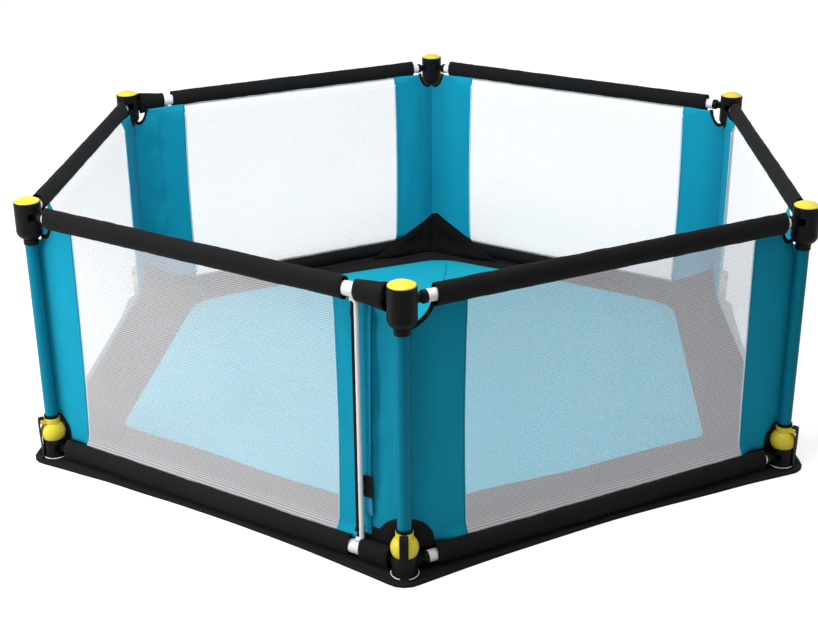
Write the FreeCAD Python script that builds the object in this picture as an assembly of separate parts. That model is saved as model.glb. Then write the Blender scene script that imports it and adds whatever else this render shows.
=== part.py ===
"""Travel play yard: a free-standing six-sided pen of steel tube, swivel hubs and sewn mesh walls.

Six upright posts stand at the corners of a regular hexagon.  A black hub at the top of each post
and a black cup at its foot each hold two swivel arms on two upright pins, and the arms plug into
the white rail tubes of the walls.  Unlocked, every second post draws in to the middle and the
other three stay out, so the yard closes to a three-armed star of parallel walls.

Frame: millimetres, +Z up, origin on the floor at the centre of the yard.  Corner 0 points to -Y
and the corners are numbered counter-clockwise; wall k runs from corner k to corner k + 1.
"""
import FreeCAD, Part
import math
import os

Vector = FreeCAD.Vector
X_AXIS = Vector(1, 0, 0)
Y_AXIS = Vector(0, 1, 0)
Z_AXIS = Vector(0, 0, 1)
ORIGIN = Vector(0, 0, 0)
ALONG = 0.99                 # cosine above which an edge counts as parallel

# ---------------------------------------------------------------- driving dimensions
SIDES = 6                    # walls, posts and corners
SIDE = 960.0                 # from one post's axis to the next, and from a post to the middle
RAIL_TOP_Z = 588.0           # axis of the top rail
RAIL_TO_CAP = 40.0           # from that axis up to the crown of the button
FOLD_MAX = 54.0              # swing of each wall from open to folded, degrees
GATE_WALLS = (3, 5)          # the walls that open, near their far corner

# fits and gaps
RUN_FIT = 0.08               # radial play of a swivel eye on its pin
SLIP = 0.3                   # gap between pieces that pass or face each other
SEAT = 0.1                   # radial play of a plug or a bore on a tube
PAST = 1.0                   # how far a cutting tool reaches past the face that it opens

# floor mat
MAT_T = 5.0                  # padded cloth, whole mat
MAT_RECESS = 2.5             # depth to which the centre pad is let into the base
MAT_LOBE_R = 47.0            # rounded corner of the mat about each post
MAT_LOBE_TURN = 32.0         # half of that arc, degrees
MAT_HEM = 27.0               # how far the mat reaches past the rails midway between corners
PAD_INSET = 138.0            # black border, from the line of the rails to the pad
PAD_BACK = 75.0              # the pad lies this much nearer to the far corner
PAD_CORNER_R = 120.0

# posts
POST_D = 28.6
POST_WALL = 1.3

# rails and their sewn sleeves
RAIL_D = 25.4
RAIL_WALL = 1.2
SLEEVE_CLOTH = 1.8           # gathered cloth on each side of the tube
SLEEVE_FOLD = 10.8           # cloth over and under the tube, with the seam allowance
SLEEVE_START = 68.0          # bare tube shows between the hub and the sleeve
SLEEVE_LIFT = 0.2            # the low sleeve is clear of the mat by this more than the feet

# swivel arms
PIN_OFFSET = 16.0            # upright pin, from the post's axis towards the wall
PIN_D = 8.0
ARM_H = 16.0
ARM_EYE_D = 14.4
ARM_NECK_W = 13.0
BOSS_LIP = 0.6               # the boss stands this much proud of the tube
BOSS_NEAR = 17.0             # the round boss grows out of the neck here, from the pin
BOSS_FULL = 25.0             # and is full size here
RAIL_START = 50.0            # end of the tube, from the post's axis
PLUG_L = 26.0

# upper hub
HUB_D = 58.0
HUB_WALL = 2.0
HUB_BOWL_H = 22.0            # height of the rounded bowl under the straight side
HUB_SIDE_LOW = 30.0          # bottom of the straight side, below the rail's axis
HUB_BOWL_OUT = 0.78          # shape of the bowl's arc: share of its width
HUB_BOWL_UP = 0.36           # reached at this share of its height
HUB_NECK_WALL = 1.0          # groove between bowl and collar, round the post
HUB_NECK_H = 2.0
HUB_COLLAR_WALL = 2.2
HUB_COLLAR_H = 12.0
HUB_LIP = 1.0                # the bowl starts this much outside the collar
HUB_RIM_CHAMFER = 0.9
POST_SEAT = 15.0             # top of the post, below the rail's axis
POCKET_CLEAR = 0.5           # above and below an arm in its slot
SLOT_SPARE = 2.5

# button and its release rod
BUTTON_TRAVEL = 5.0
BUTTON_SKIRT = 3.6
BUTTON_STEM_D = 6.0
STEM_CHAMFER = 1.0
BUTTON_EDGE_R = 3.0
BUTTON_EDGE_OUT = 0.7        # shape of that rounded edge: share of its radius outwards
BUTTON_EDGE_UP = 0.62        # and upwards, half-way round it
BUTTON_EDGE_RISE = 0.9
HUB_RIM_WALL = 1.4           # round the bore that the button slides in
ROOF_T = 13.0                # head over the arms, under the button

# foot cup, bulb and collar
CUP_D = 52.0
CUP_WALL = 2.0
CUP_FLARE = 1.5              # the cup spreads towards the floor
CUP_FLARE_H = 12.0
CUP_FLOOR = 8.0              # over the arms
BULB_D = 57.0
BULB_BASE = 18.0             # flat base of the bulb, below its centre
BULB_NECK_WALL = 3.7         # ring above the bulb, round the post
BULB_RING_H = 16.0
BULB_NECK_SINK = 2.0         # the ring starts this far inside the bulb
EAR_REACH = 29.0             # from the post's axis outwards
EAR_W = 22.0
EAR_TIP_R = 4.0
EAR_T = 10.0
CUP_RIM_H = 3.0
STOP_RING_H = 7.0
STOP_RING_WALL = 2.7
CUP_PLUG_H = 28.0

# elastic strap over the foot
STRAP_W = 18.0
STRAP_T = 1.5
STRAP_LIP = 10.0             # lies on the ear
STRAP_BEND = 1.0
STRAP_SLOPE = 10.0           # starts to draw in this far below the bulb's middle

# sewn walls
WALL_T = 1.5
WALL_START = 45.0            # edge of the flat cloth, from the post's axis
STRIP_W = 135.0              # solid cloth at each end, from the post's axis
GATE_STRIP_W = 160.0
CORNER_CUT_R = 56.0          # rounded cut-out round the hub

# gate
GATE_GAP_NEAR = 96.0         # sleeve split, near edge from the post's axis
GATE_GAP_FAR = 130.0
GATE_SLEEVE_START = 40.0
CLAMP_WALL = 1.8
CLAMP_W = 24.0
CLAMP_X = 115.0
ROD_D = 10.0
ROD_X = 102.0
ROD_BEND_R = 9.0
ROD_SINK = 1.0               # the rod's ends lie this deep in their clamps
SLIDER_W = 10.0
SLIDER_H = 14.0
SLIDER_T = 4.5
SLIDER_R = 3.0
SLIDER_X = 119.0
SLIDER_DROP = 46.0           # top of the closed slider, below the top rail's axis

# ---------------------------------------------------------------- what follows from them
SLEEVE_W = RAIL_D + 2 * SLEEVE_CLOTH                 # tunnel, across the wall
SLEEVE_H = RAIL_D + 2 * SLEEVE_FOLD
BOSS_D = RAIL_D + 2 * BOSS_LIP
CLAMP_D = RAIL_D + 2 * CLAMP_WALL
HUB_NECK_D = POST_D + 2 * HUB_NECK_WALL
HUB_COLLAR_D = POST_D + 2 * HUB_COLLAR_WALL
HUB_RIM_D = HUB_D - 2 * HUB_RIM_WALL
BULB_NECK_D = POST_D + 2 * BULB_NECK_WALL
STOP_RING_D = POST_D + 2 * STOP_RING_WALL
BORE_D = POST_D + 2 * SEAT                           # of the pieces that sit on the post
EYE_BORE_D = PIN_D + 2 * RUN_FIT
FOOT_Z = MAT_T + SLIP                                # the feet stand on the mat
RAIL_LOW_Z = FOOT_Z + SLEEVE_LIFT + SLEEVE_H / 2
POCKET_H = ARM_H + 2 * POCKET_CLEAR
CAP_Z = RAIL_TOP_Z + RAIL_TO_CAP
ROOF_Z = RAIL_TOP_Z + POCKET_H / 2 + ROOF_T
BUTTON_LOW = ROOF_Z + SLIP + BUTTON_TRAVEL           # underside of the button at rest
HUB_RIM_Z = BUTTON_LOW + BUTTON_SKIRT - SLIP
POST_TOP = RAIL_TOP_Z - POST_SEAT
CUP_TOP = RAIL_LOW_Z + POCKET_H / 2 + CUP_WALL + CUP_FLOOR
BULB_Z = CUP_TOP + BULB_BASE
NECK_Z = BULB_Z + math.sqrt((BULB_D / 2) ** 2 - (BULB_NECK_D / 2) ** 2) - BULB_NECK_SINK
EAR_TOP = NECK_Z + BULB_RING_H
WALL_OUT = SLEEVE_W / 2 + SLIP                       # outer face of the cloth, from the rail's axis
ARM_TURN = 60.0                                      # between an arm and the way to the middle


def direction(degrees):
    """Unit vector in the floor plane."""
    return Vector(math.cos(math.radians(degrees)), math.sin(math.radians(degrees)), 0)


def cylinder(diameter, low, high, x=0.0, y=0.0):
    return Part.makeCylinder(diameter / 2, high - low, Vector(x, y, low))


def level_rod(diameter, start, end, z):
    """Cylinder along +X."""
    return Part.makeCylinder(diameter / 2, end - start, Vector(start, 0, z), X_AXIS)


def box(x, y, z):
    """Box from (low, high) pairs."""
    return Part.makeBox(x[1] - x[0], y[1] - y[0], z[1] - z[0], Vector(x[0], y[0], z[0]))


def turned(points):
    """Solid turned about the Z axis from (radius, height) points.

    A point written with a third value is the middle of an arc to the point after it.
    """
    edges = []
    index = 0
    corners = [Vector(p[0], 0, p[1]) for p in points]
    while index < len(points) - 1:
        if len(points[index + 1]) == 3:
            edges.append(Part.Arc(corners[index], corners[index + 1], corners[index + 2]).toShape())
            index += 2
        else:
            edges.append(Part.LineSegment(corners[index], corners[index + 1]).toShape())
            index += 1
    edges.append(Part.LineSegment(corners[-1], corners[0]).toShape())
    return Part.Face(Part.Wire(edges)).revolve(ORIGIN, Z_AXIS, 360)


def extruded(points, along):
    """Prism from the corners of a flat outline."""
    return Part.Face(Part.makePolygon(points + [points[0]])).extrude(along)


def arc_point(centre, radius, degrees):
    """(radius, height) point on a circle in the turning plane, marked as the middle of an arc."""
    angle = math.radians(degrees)
    return (centre[0] + radius * math.cos(angle), centre[1] + radius * math.sin(angle), "arc")


def at_corner(shape, corner):
    """From the post's own frame, where +Y looks to the middle, to its place in the yard."""
    placed = shape.copy()
    placed.translate(Vector(0, -SIDE, 0))
    placed.rotate(ORIGIN, Z_AXIS, 360.0 / SIDES * corner)
    return placed


def at_wall(shape, wall):
    """From the wall's own frame, along +X from its first post with +Y inwards, to the yard."""
    placed = shape.copy()
    placed.rotate(ORIGIN, Z_AXIS, 90 - ARM_TURN)
    return at_corner(placed, wall)


def save(name, *solids):
    """One STEP file per sub-part."""
    shape = solids[0] if len(solids) == 1 else Part.makeCompound(list(solids))
    shape.exportStep("parts/" + name + ".step")
    valid = all(solid.isValid() and solid.ShapeType == "Solid" for solid in solids)
    volume = round(sum(solid.Volume for solid in solids))
    print(name, len(solids), "solids", volume, "mm3", "" if valid else "INVALID")


def solid_of(shape):
    """The single solid that a cut or a fuse leaves."""
    clean = shape.removeSplitter()
    return clean.Solids[0] if len(clean.Solids) == 1 else clean


def edges_along(shape, axis):
    """Straight edges that run along an axis."""
    return [edge for edge in shape.Edges
            if abs(edge.tangentAt(edge.FirstParameter).dot(axis)) > ALONG]


# ---------------------------------------------------------------- floor mat
def mat_outline():
    """Hexagon with a round lobe about each foot and edges that bow in between the lobes."""
    edges = []
    apothem = SIDE * math.cos(math.pi / SIDES)
    turns = (-MAT_LOBE_TURN, 0, MAT_LOBE_TURN)
    for corner in range(SIDES):
        middle = -90 + 360.0 / SIDES * corner
        centre = direction(middle) * SIDE
        ends = [centre + direction(middle + turn) * MAT_LOBE_R for turn in turns]
        edges.append(Part.Arc(*ends).toShape())
        following = -90 + 360.0 / SIDES * (corner + 1)
        start = direction(following) * SIDE + direction(following - MAT_LOBE_TURN) * MAT_LOBE_R
        halfway = direction(middle + 180.0 / SIDES) * (apothem + MAT_HEM)
        edges.append(Part.Arc(ends[2], halfway, start).toShape())
    return Part.Face(Part.Wire(edges))


def pad_outline():
    """Hexagon inside the black border, with rounded corners."""
    radius = SIDE - PAD_INSET / math.cos(math.pi / SIDES)
    corners = [direction(-90 + 360.0 / SIDES * corner) * radius for corner in range(SIDES)]
    prism = extruded(corners, Vector(0, 0, MAT_RECESS))
    return prism.makeFillet(PAD_CORNER_R, edges_along(prism, Z_AXIS))


def make_mat():
    pad = pad_outline()
    pad.translate(Vector(0, PAD_BACK, MAT_T - MAT_RECESS))
    base = mat_outline().extrude(Vector(0, 0, MAT_T)).cut(pad)
    save("mat_base", solid_of(base))
    save("mat_pad", solid_of(pad))


# ---------------------------------------------------------------- corner pieces
def swing_sign(corner):
    """Walls close towards the middle at even corners and away from it at odd ones."""
    return 1 if corner % 2 == 0 else -1


def slot_angles(radius):
    """Angles, from an arm's rest direction, that the arm needs in a round wall of this radius."""
    half = ARM_NECK_W / 2 + POCKET_CLEAR
    wide = half + PAST
    start = -math.degrees(math.asin(wide / radius)) - SLOT_SPARE
    swing = math.radians(FOLD_MAX)
    reach = PIN_OFFSET
    while True:
        x = PIN_OFFSET + reach * math.cos(swing) - wide * math.sin(swing)
        y = reach * math.sin(swing) + wide * math.cos(swing)
        if math.hypot(x, y) >= radius:
            return start, math.degrees(math.atan2(y, x)) + SLOT_SPARE
        reach += SEAT


def swivel_pocket(axis_z, radius, wall, corner):
    """Flat chamber for two arms with its slots, less the two pins that stand in it."""
    low = axis_z - POCKET_H / 2
    inner = radius - wall
    chamber = Part.makeCylinder(inner, POCKET_H, Vector(0, 0, low))
    start, end = slot_angles(inner)
    for side in (1, -1):
        arm = 90 - side * ARM_TURN
        turn = side * swing_sign(corner)
        sweep = [arm + turn * start, arm + turn * end]
        slot = Part.makeCylinder(radius + wall, POCKET_H, Vector(0, 0, low), Z_AXIS, abs(end - start))
        slot.rotate(ORIGIN, Z_AXIS, min(sweep))
        chamber = chamber.fuse(slot)
    for side in (1, -1):
        pin = direction(90 - side * ARM_TURN) * PIN_OFFSET
        chamber = chamber.cut(cylinder(PIN_D, low - PAST, low + POCKET_H + PAST, pin.x, pin.y))
    return chamber


def upper_hub(corner):
    """Bowl-bottomed hub: bore for the post, chamber for the arms, rim for the button."""
    radius = HUB_D / 2
    side_low = RAIL_TOP_Z - HUB_SIDE_LOW
    bowl_low = side_low - HUB_BOWL_H
    neck_low = bowl_low - HUB_NECK_H
    collar_low = neck_low - HUB_COLLAR_H
    lip = HUB_COLLAR_D / 2 + HUB_LIP
    swell = (lip + (radius - lip) * HUB_BOWL_OUT, bowl_low + HUB_BOWL_H * HUB_BOWL_UP, "arc")
    hub = turned([
        (0, collar_low), (HUB_COLLAR_D / 2, collar_low), (HUB_COLLAR_D / 2, neck_low),
        (HUB_NECK_D / 2, neck_low), (HUB_NECK_D / 2, bowl_low), (lip, bowl_low),
        swell, (radius, side_low), (radius, HUB_RIM_Z - HUB_RIM_CHAMFER),
        (radius - HUB_RIM_CHAMFER, HUB_RIM_Z), (0, HUB_RIM_Z)])
    hub = hub.cut(cylinder(HUB_RIM_D, ROOF_Z, HUB_RIM_Z + PAST))
    hub = hub.cut(cylinder(BORE_D, collar_low - PAST, POST_TOP))
    hub = hub.cut(cylinder(BUTTON_STEM_D + 2 * SLIP, POST_TOP - PAST, HUB_RIM_Z))
    return solid_of(hub.cut(swivel_pocket(RAIL_TOP_Z, radius, HUB_WALL, corner)))


def foot_cup(corner):
    """Cup on the mat: chamber for the low arms, rim for the bulb, plug into the post."""
    radius = CUP_D / 2
    rim = CUP_TOP + CUP_RIM_H
    plug_top = CUP_TOP + CUP_PLUG_H
    cup = turned([
        (0, FOOT_Z), (radius, FOOT_Z), (radius + CUP_FLARE, FOOT_Z + CUP_FLARE),
        (radius, FOOT_Z + CUP_FLARE_H), (radius, rim), (0, rim)])
    cup = cup.cut(cylinder(CUP_D - 2 * CUP_WALL, CUP_TOP, rim + PAST))
    cup = cup.fuse(cylinder(POST_D - 2 * POST_WALL - 2 * SEAT, CUP_TOP - PAST, plug_top))
    cup = cup.cut(swivel_pocket(RAIL_LOW_Z, radius, CUP_WALL, corner))
    return solid_of(cup.cut(cylinder(BUTTON_STEM_D + 2 * SLIP, RAIL_LOW_Z, plug_top + PAST)))


def stop_ring():
    """Black ring clamped on the post above the bulb."""
    ring = cylinder(STOP_RING_D, EAR_TOP, EAR_TOP + STOP_RING_H)
    return solid_of(ring.cut(cylinder(BORE_D, EAR_TOP - PAST, EAR_TOP + STOP_RING_H + PAST)))


def foot_bulb():
    """Round bulb on the foot, with a ring above it whose ear takes the mat's strap."""
    radius = BULB_D / 2
    base_r = CUP_D / 2 - CUP_WALL - SEAT
    rim_z = CUP_TOP + CUP_RIM_H
    low_angle = math.degrees(math.asin((rim_z - BULB_Z) / radius))
    high_angle = math.degrees(math.acos(BULB_NECK_D / 2 / radius))
    centre = (0.0, BULB_Z)
    low = arc_point(centre, radius, low_angle)
    high = arc_point(centre, radius, high_angle)
    bulb = turned([
        (0, CUP_TOP), (base_r, CUP_TOP), (base_r, rim_z + SEAT), (low[0], rim_z + SEAT),
        arc_point(centre, radius, (low_angle + high_angle) / 2), (high[0], high[1]),
        (BULB_NECK_D / 2, EAR_TOP), (0, EAR_TOP)])
    ear = box((-EAR_W / 2, EAR_W / 2), (-EAR_REACH, 0), (EAR_TOP - EAR_T, EAR_TOP))
    tips = [edge for edge in edges_along(ear, Z_AXIS) if edge.CenterOfMass.y < -EAR_REACH / 2]
    bulb = bulb.fuse(ear.makeFillet(EAR_TIP_R, tips))
    return solid_of(bulb.cut(cylinder(BORE_D, CUP_TOP - PAST, EAR_TOP + PAST)))


def post_tube():
    tube = cylinder(POST_D, CUP_TOP, POST_TOP)
    return solid_of(tube.cut(cylinder(POST_D - 2 * POST_WALL, CUP_TOP - PAST, POST_TOP + PAST)))


def button():
    """Domed cap on a long rod that reaches down the post to the foot's lock."""
    radius = HUB_RIM_D / 2 - SLIP
    skirt_top = BUTTON_LOW + BUTTON_SKIRT
    shoulder = radius - BUTTON_EDGE_R
    mid = (shoulder + BUTTON_EDGE_OUT * BUTTON_EDGE_R,
           skirt_top + BUTTON_EDGE_UP * BUTTON_EDGE_R, "arc")
    shoulder_z = skirt_top + BUTTON_EDGE_RISE * BUTTON_EDGE_R
    dome_r = (shoulder ** 2 + (CAP_Z - shoulder_z) ** 2) / (2 * (CAP_Z - shoulder_z))
    half = math.asin(shoulder / dome_r) / 2
    crown = (dome_r * math.sin(half), CAP_Z - dome_r * (1 - math.cos(half)), "arc")
    stem = BUTTON_STEM_D / 2
    tip = RAIL_LOW_Z + BUTTON_TRAVEL + SLIP
    return turned([
        (0, tip), (stem - STEM_CHAMFER, tip), (stem, tip + STEM_CHAMFER), (stem, BUTTON_LOW),
        (radius, BUTTON_LOW), (radius, skirt_top), mid, (shoulder, shoulder_z), crown, (0, CAP_Z)])


def foot_strap():
    """Elastic strap, hooked over the ear and drawn down the outside of the bulb to the mat."""
    out = EAR_REACH + SLIP
    foot = CUP_D / 2 + CUP_FLARE + SLIP
    top = EAR_TOP + SLIP
    draw_in = BULB_Z - STRAP_SLOPE
    bend = STRAP_T - STRAP_BEND
    profile = [(out, top), (out - STRAP_LIP, top), (out - STRAP_LIP, top + STRAP_T),
               (out + bend, top + STRAP_T), (out + STRAP_T, top + bend), (out + STRAP_T, draw_in),
               (foot + STRAP_T, FOOT_Z), (foot, FOOT_Z), (out, draw_in)]
    points = [Vector(-STRAP_W / 2, -y, z) for y, z in profile]
    return extruded(points, Vector(STRAP_W, 0, 0))


def make_corner(corner):
    name = "corner_" + str(corner)
    save(name + "_post", at_corner(post_tube(), corner))
    hubs = (upper_hub(corner), foot_cup(corner), stop_ring())
    save(name + "_hubs", *[at_corner(piece, corner) for piece in hubs])
    save(name + "_bulb", at_corner(foot_bulb(), corner))
    save(name + "_button", at_corner(button(), corner))
    save(name + "_strap", at_corner(foot_strap(), corner))


# ---------------------------------------------------------------- wall pieces
def swivel_arm(axis_z):
    """Arm along +X: an eye on the pin, a flat neck in the slot, a boss and a plug in the rail."""
    low = axis_z - ARM_H / 2
    high = axis_z + ARM_H / 2
    boss_start = PIN_OFFSET + BOSS_FULL
    eye = cylinder(ARM_EYE_D, low, high, PIN_OFFSET)
    neck = box((PIN_OFFSET, boss_start), (-ARM_NECK_W / 2, ARM_NECK_W / 2), (low, high))
    cone = Part.makeCone(ARM_NECK_W / 2, BOSS_D / 2, BOSS_FULL - BOSS_NEAR,
                         Vector(PIN_OFFSET + BOSS_NEAR, 0, axis_z), X_AXIS)
    boss = level_rod(BOSS_D, boss_start, RAIL_START, axis_z)
    plug_d = RAIL_D - 2 * RAIL_WALL - 2 * SEAT
    plug = level_rod(plug_d, RAIL_START - PAST, RAIL_START + PLUG_L, axis_z)
    arm = eye.fuse([neck, cone, boss, plug])
    return solid_of(arm.cut(cylinder(EYE_BORE_D, axis_z - ARM_H, axis_z + ARM_H, PIN_OFFSET)))


def mirrored(shape):
    """The same piece at the wall's far end."""
    copy = shape.mirror(Vector(SIDE / 2, 0, 0), X_AXIS)
    return copy.Solids[0]


def rail_tube(axis_z):
    end = SIDE - RAIL_START
    outside = level_rod(RAIL_D, RAIL_START, end, axis_z)
    return solid_of(outside.cut(level_rod(RAIL_D - 2 * RAIL_WALL, RAIL_START, end, axis_z)))


def sleeve(axis_z, start, end):
    """Sewn tunnel: a racetrack outline with a round bore for the tube."""
    radius = SLEEVE_W / 2
    rise = SLEEVE_H / 2 - radius
    tunnel = box((start, end), (-radius, radius), (axis_z - rise, axis_z + rise))
    tunnel = tunnel.fuse([level_rod(SLEEVE_W, start, end, axis_z + side * rise) for side in (1, -1)])
    tunnel = tunnel.cut(level_rod(RAIL_D + 2 * SLIP, start, end, axis_z))
    boss_end = SIDE - RAIL_START
    if end > boss_end:
        tunnel = tunnel.cut(level_rod(BOSS_D + 2 * SLIP, boss_end - SLIP, end, axis_z))
    return solid_of(tunnel)


def wall_cloth(wall):
    """Mesh field between two solid strips, rounded out around the hubs at its top corners."""
    gate = wall in GATE_WALLS
    near = STRIP_W
    far = SIDE - (GATE_STRIP_W if gate else STRIP_W)
    face = (WALL_OUT, WALL_OUT + WALL_T)
    height = (RAIL_LOW_Z, RAIL_TOP_Z)
    pieces = [box((WALL_START, near), face, height),
              box((near, far), face, height),
              box((far, SIDE - WALL_START), face, height)]
    cuts = [Part.makeCylinder(CORNER_CUT_R, 2 * WALL_OUT, Vector(x, 0, RAIL_TOP_Z), Y_AXIS)
            for x in (PIN_OFFSET, SIDE - PIN_OFFSET)]
    return [pieces[0].cut(cuts[0]).Solids[0], pieces[1], pieces[2].cut(cuts[1]).Solids[0]]


def gate_rod():
    """Upright rod that keeps the rails apart beside the gate, bent in to a clamp on each rail."""
    x = SIDE - ROD_X
    clamp_x = SIDE - CLAMP_X
    reach = CLAMP_D / 2 + ROD_D / 2 - ROD_SINK
    low = RAIL_LOW_Z + reach
    high = RAIL_TOP_Z - reach
    bend = x - ROD_BEND_R
    rod = cylinder(ROD_D, low + ROD_BEND_R, high - ROD_BEND_R, x)
    for z, side in ((low, 1), (high, -1)):
        centre = Vector(bend, 0, z + side * ROD_BEND_R)
        ring = Part.Face(Part.Wire(Part.Circle(Vector(bend, 0, z), X_AXIS, ROD_D / 2).toShape()))
        quarter = ring.revolve(centre, Y_AXIS, -90 * side)
        rod = rod.fuse([quarter, level_rod(ROD_D, clamp_x, bend, z)])
    for z in (RAIL_LOW_Z, RAIL_TOP_Z):
        rod = rod.fuse(level_rod(CLAMP_D, clamp_x - CLAMP_W / 2, clamp_x + CLAMP_W / 2, z))
    for z in (RAIL_LOW_Z, RAIL_TOP_Z):
        rod = rod.cut(level_rod(RAIL_D + 2 * SEAT, clamp_x - CLAMP_W, clamp_x + CLAMP_W, z))
    return solid_of(rod)


def zip_slider():
    """Slider of the gate's zip, on the outer face of the cloth, closed at the top."""
    x = SIDE - SLIDER_X
    top = RAIL_TOP_Z - SLIDER_DROP
    back = WALL_OUT - SLIP
    body = box((x - SLIDER_W / 2, x + SLIDER_W / 2), (back - SLIDER_T, back), (top - SLIDER_H, top))
    shoulders = [edge for edge in edges_along(body, Y_AXIS) if edge.CenterOfMass.z > top - SLIDER_R]
    return solid_of(body.makeFillet(SLIDER_R, shoulders))


def make_wall(wall):
    name = "wall_" + str(wall)
    gate = wall in GATE_WALLS
    axes = (RAIL_LOW_Z, RAIL_TOP_Z)
    save(name + "_rails", *[at_wall(rail_tube(z), wall) for z in axes])
    arms = [swivel_arm(z) for z in axes]
    save(name + "_arms", *[at_wall(arm, wall) for arm in arms + [mirrored(arm) for arm in arms]])
    spans = [(SLEEVE_START, SIDE - SLEEVE_START)]
    if gate:
        spans = [(SLEEVE_START, SIDE - GATE_GAP_FAR), (SIDE - GATE_GAP_NEAR, SIDE - GATE_SLEEVE_START)]
    save(name + "_sleeves", *[at_wall(sleeve(z, *span), wall) for z in axes for span in spans])
    save(name + "_cloth", *[at_wall(piece, wall) for piece in wall_cloth(wall)])
    if gate:
        save("gate_" + str(wall) + "_rod", at_wall(gate_rod(), wall))
        save("gate_" + str(wall) + "_zip_slider", at_wall(zip_slider(), wall))


def main():
    os.makedirs("parts", exist_ok=True)
    make_mat()
    for index in range(SIDES):
        make_corner(index)
        make_wall(index)


main()
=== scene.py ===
# %% [markdown]
# # A six-sided travel play yard
# The yard is a ring of six upright steel posts.  A black hub on top of each post and a black cup at
# its foot hold the arms of two walls, and each wall is a pair of white tubes in sewn black sleeves
# with see-through mesh between strips of teal cloth.  The hard parts come from the packed frame and
# only get finishes here.  Everything that is sewn is modelled here, in metres, in the same place.

# %% Load the frame
import math

import bmesh
import bpy
from mathutils import Matrix, Vector, noise


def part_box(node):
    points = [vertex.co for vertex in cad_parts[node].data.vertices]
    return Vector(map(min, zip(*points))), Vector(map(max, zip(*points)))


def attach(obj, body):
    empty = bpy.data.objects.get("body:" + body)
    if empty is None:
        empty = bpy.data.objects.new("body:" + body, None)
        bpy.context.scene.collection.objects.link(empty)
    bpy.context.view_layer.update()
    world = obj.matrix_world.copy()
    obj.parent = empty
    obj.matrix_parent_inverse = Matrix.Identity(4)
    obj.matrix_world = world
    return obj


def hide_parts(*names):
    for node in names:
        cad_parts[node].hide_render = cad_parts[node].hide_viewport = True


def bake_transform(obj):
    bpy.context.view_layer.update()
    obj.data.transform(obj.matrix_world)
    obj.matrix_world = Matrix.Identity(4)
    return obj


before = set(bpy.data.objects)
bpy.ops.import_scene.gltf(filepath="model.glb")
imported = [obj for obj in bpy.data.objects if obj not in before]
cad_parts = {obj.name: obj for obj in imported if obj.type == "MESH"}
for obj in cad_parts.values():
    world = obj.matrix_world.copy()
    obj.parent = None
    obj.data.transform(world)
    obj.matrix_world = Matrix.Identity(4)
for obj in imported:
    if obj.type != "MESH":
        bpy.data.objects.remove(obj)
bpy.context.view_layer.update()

# %% [markdown]
# ## Where things are
# All places come from the frame's own boxes, so that the cloth follows the tubes if a size changes.
# Corner 0 points to -Y, and wall k runs from corner k to corner k + 1.  Every wall is the same, so a
# wall's pieces are made once in a plain frame of their own, with x along the wall, y towards the
# middle of the yard and z up, and a matrix then puts them in place.

# %% Corners, walls and rails
SIDES = 6
GATES = (3, 5)
RAIL_R = 0.0127


def middle_of(node):
    """Middle of a frame node's box."""
    low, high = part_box(node)
    return [(a + b) / 2 for a, b in zip(low, high)]


POSTS = [Vector(middle_of(f"corner_{k}_post")[:2] + [0]) for k in range(SIDES)]
SIDE = (POSTS[1] - POSTS[0]).length
APOTHEM = SIDE * math.cos(math.pi / SIDES)
RAIL_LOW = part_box("wall_1_rails")[0][2] + RAIL_R
RAIL_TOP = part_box("wall_1_rails")[1][2] - RAIL_R
MAT_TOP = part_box("mat_base")[1][2]
CLOTH_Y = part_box("wall_4_cloth")[0][0] - (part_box("wall_4_rails")[0][0] + RAIL_R)
HUB_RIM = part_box("corner_0_hubs")[1][2]


def wall_matrix(wall):
    """From a wall's own frame to its place in the yard."""
    start = POSTS[wall % SIDES]
    along = (POSTS[(wall + 1) % SIDES] - start).normalized()
    inward = Vector((-along.y, along.x, 0))
    turn = Matrix((along, inward, Vector((0, 0, 1)))).transposed().to_4x4()
    return Matrix.Translation(start) @ turn


print(f"walls {SIDE * 1000:.0f} mm long, rails at {RAIL_LOW * 1000:.1f} and {RAIL_TOP * 1000:.1f} mm")
print(f"cloth {CLOTH_Y * 1000:.1f} mm inside the rails")

# %% [markdown]
# ## Shader sums as Python
# Node trees are hard to read as lists of links.  Here one small class wraps a socket, so that an
# expression such as 1 - mask * 0.5 adds its own Math nodes.  Any other node comes from one method
# that takes the node's type, its settings and the values or links of its sockets.

# %% One class for sockets


class Signal:
    """A socket that takes part in sums."""

    def __init__(self, tree, socket):
        self.tree = tree
        self.socket = socket

    def math(self, operation, *others):
        values = {0: self}
        values.update({index + 1: other for index, other in enumerate(others)})
        return make_node(self.tree, "ShaderNodeMath", {"operation": operation}, values)

    def __add__(self, other):
        return self.math("ADD", other)

    def __sub__(self, other):
        return self.math("SUBTRACT", other)

    def __mul__(self, other):
        return self.math("MULTIPLY", other)

    def __rsub__(self, other):
        return self.math("MULTIPLY", -1.0).math("ADD", other)

    __radd__ = __add__
    __rmul__ = __mul__

    def sine(self, turns):
        """Sine of this value after so many turns per unit, from 0 to 1."""
        return (self * (turns * math.tau)).math("SINE") * 0.5 + 0.5

    def above(self, edge, soft):
        """0 below an edge, 1 above it, with a soft step between."""
        settings = {"interpolation_type": "SMOOTHSTEP"}
        values = {"Value": self, "From Min": edge - soft, "From Max": edge + soft}
        return make_node(self.tree, "ShaderNodeMapRange", settings, values)

    def axis(self, name):
        return make_node(self.tree, "ShaderNodeSeparateXYZ", {}, {"Vector": self}, name)


def make_node(tree, kind, settings, values, output=0):
    """Adds a node, sets its settings, then fills or links its sockets, and returns one output."""
    node = tree.nodes.new(kind)
    for key, value in settings.items():
        setattr(node, key, value)
    for key, value in values.items():
        if isinstance(value, Signal):
            tree.links.new(value.socket, node.inputs[key])
        else:
            node.inputs[key].default_value = value
    return Signal(tree, node.outputs[output])


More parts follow.
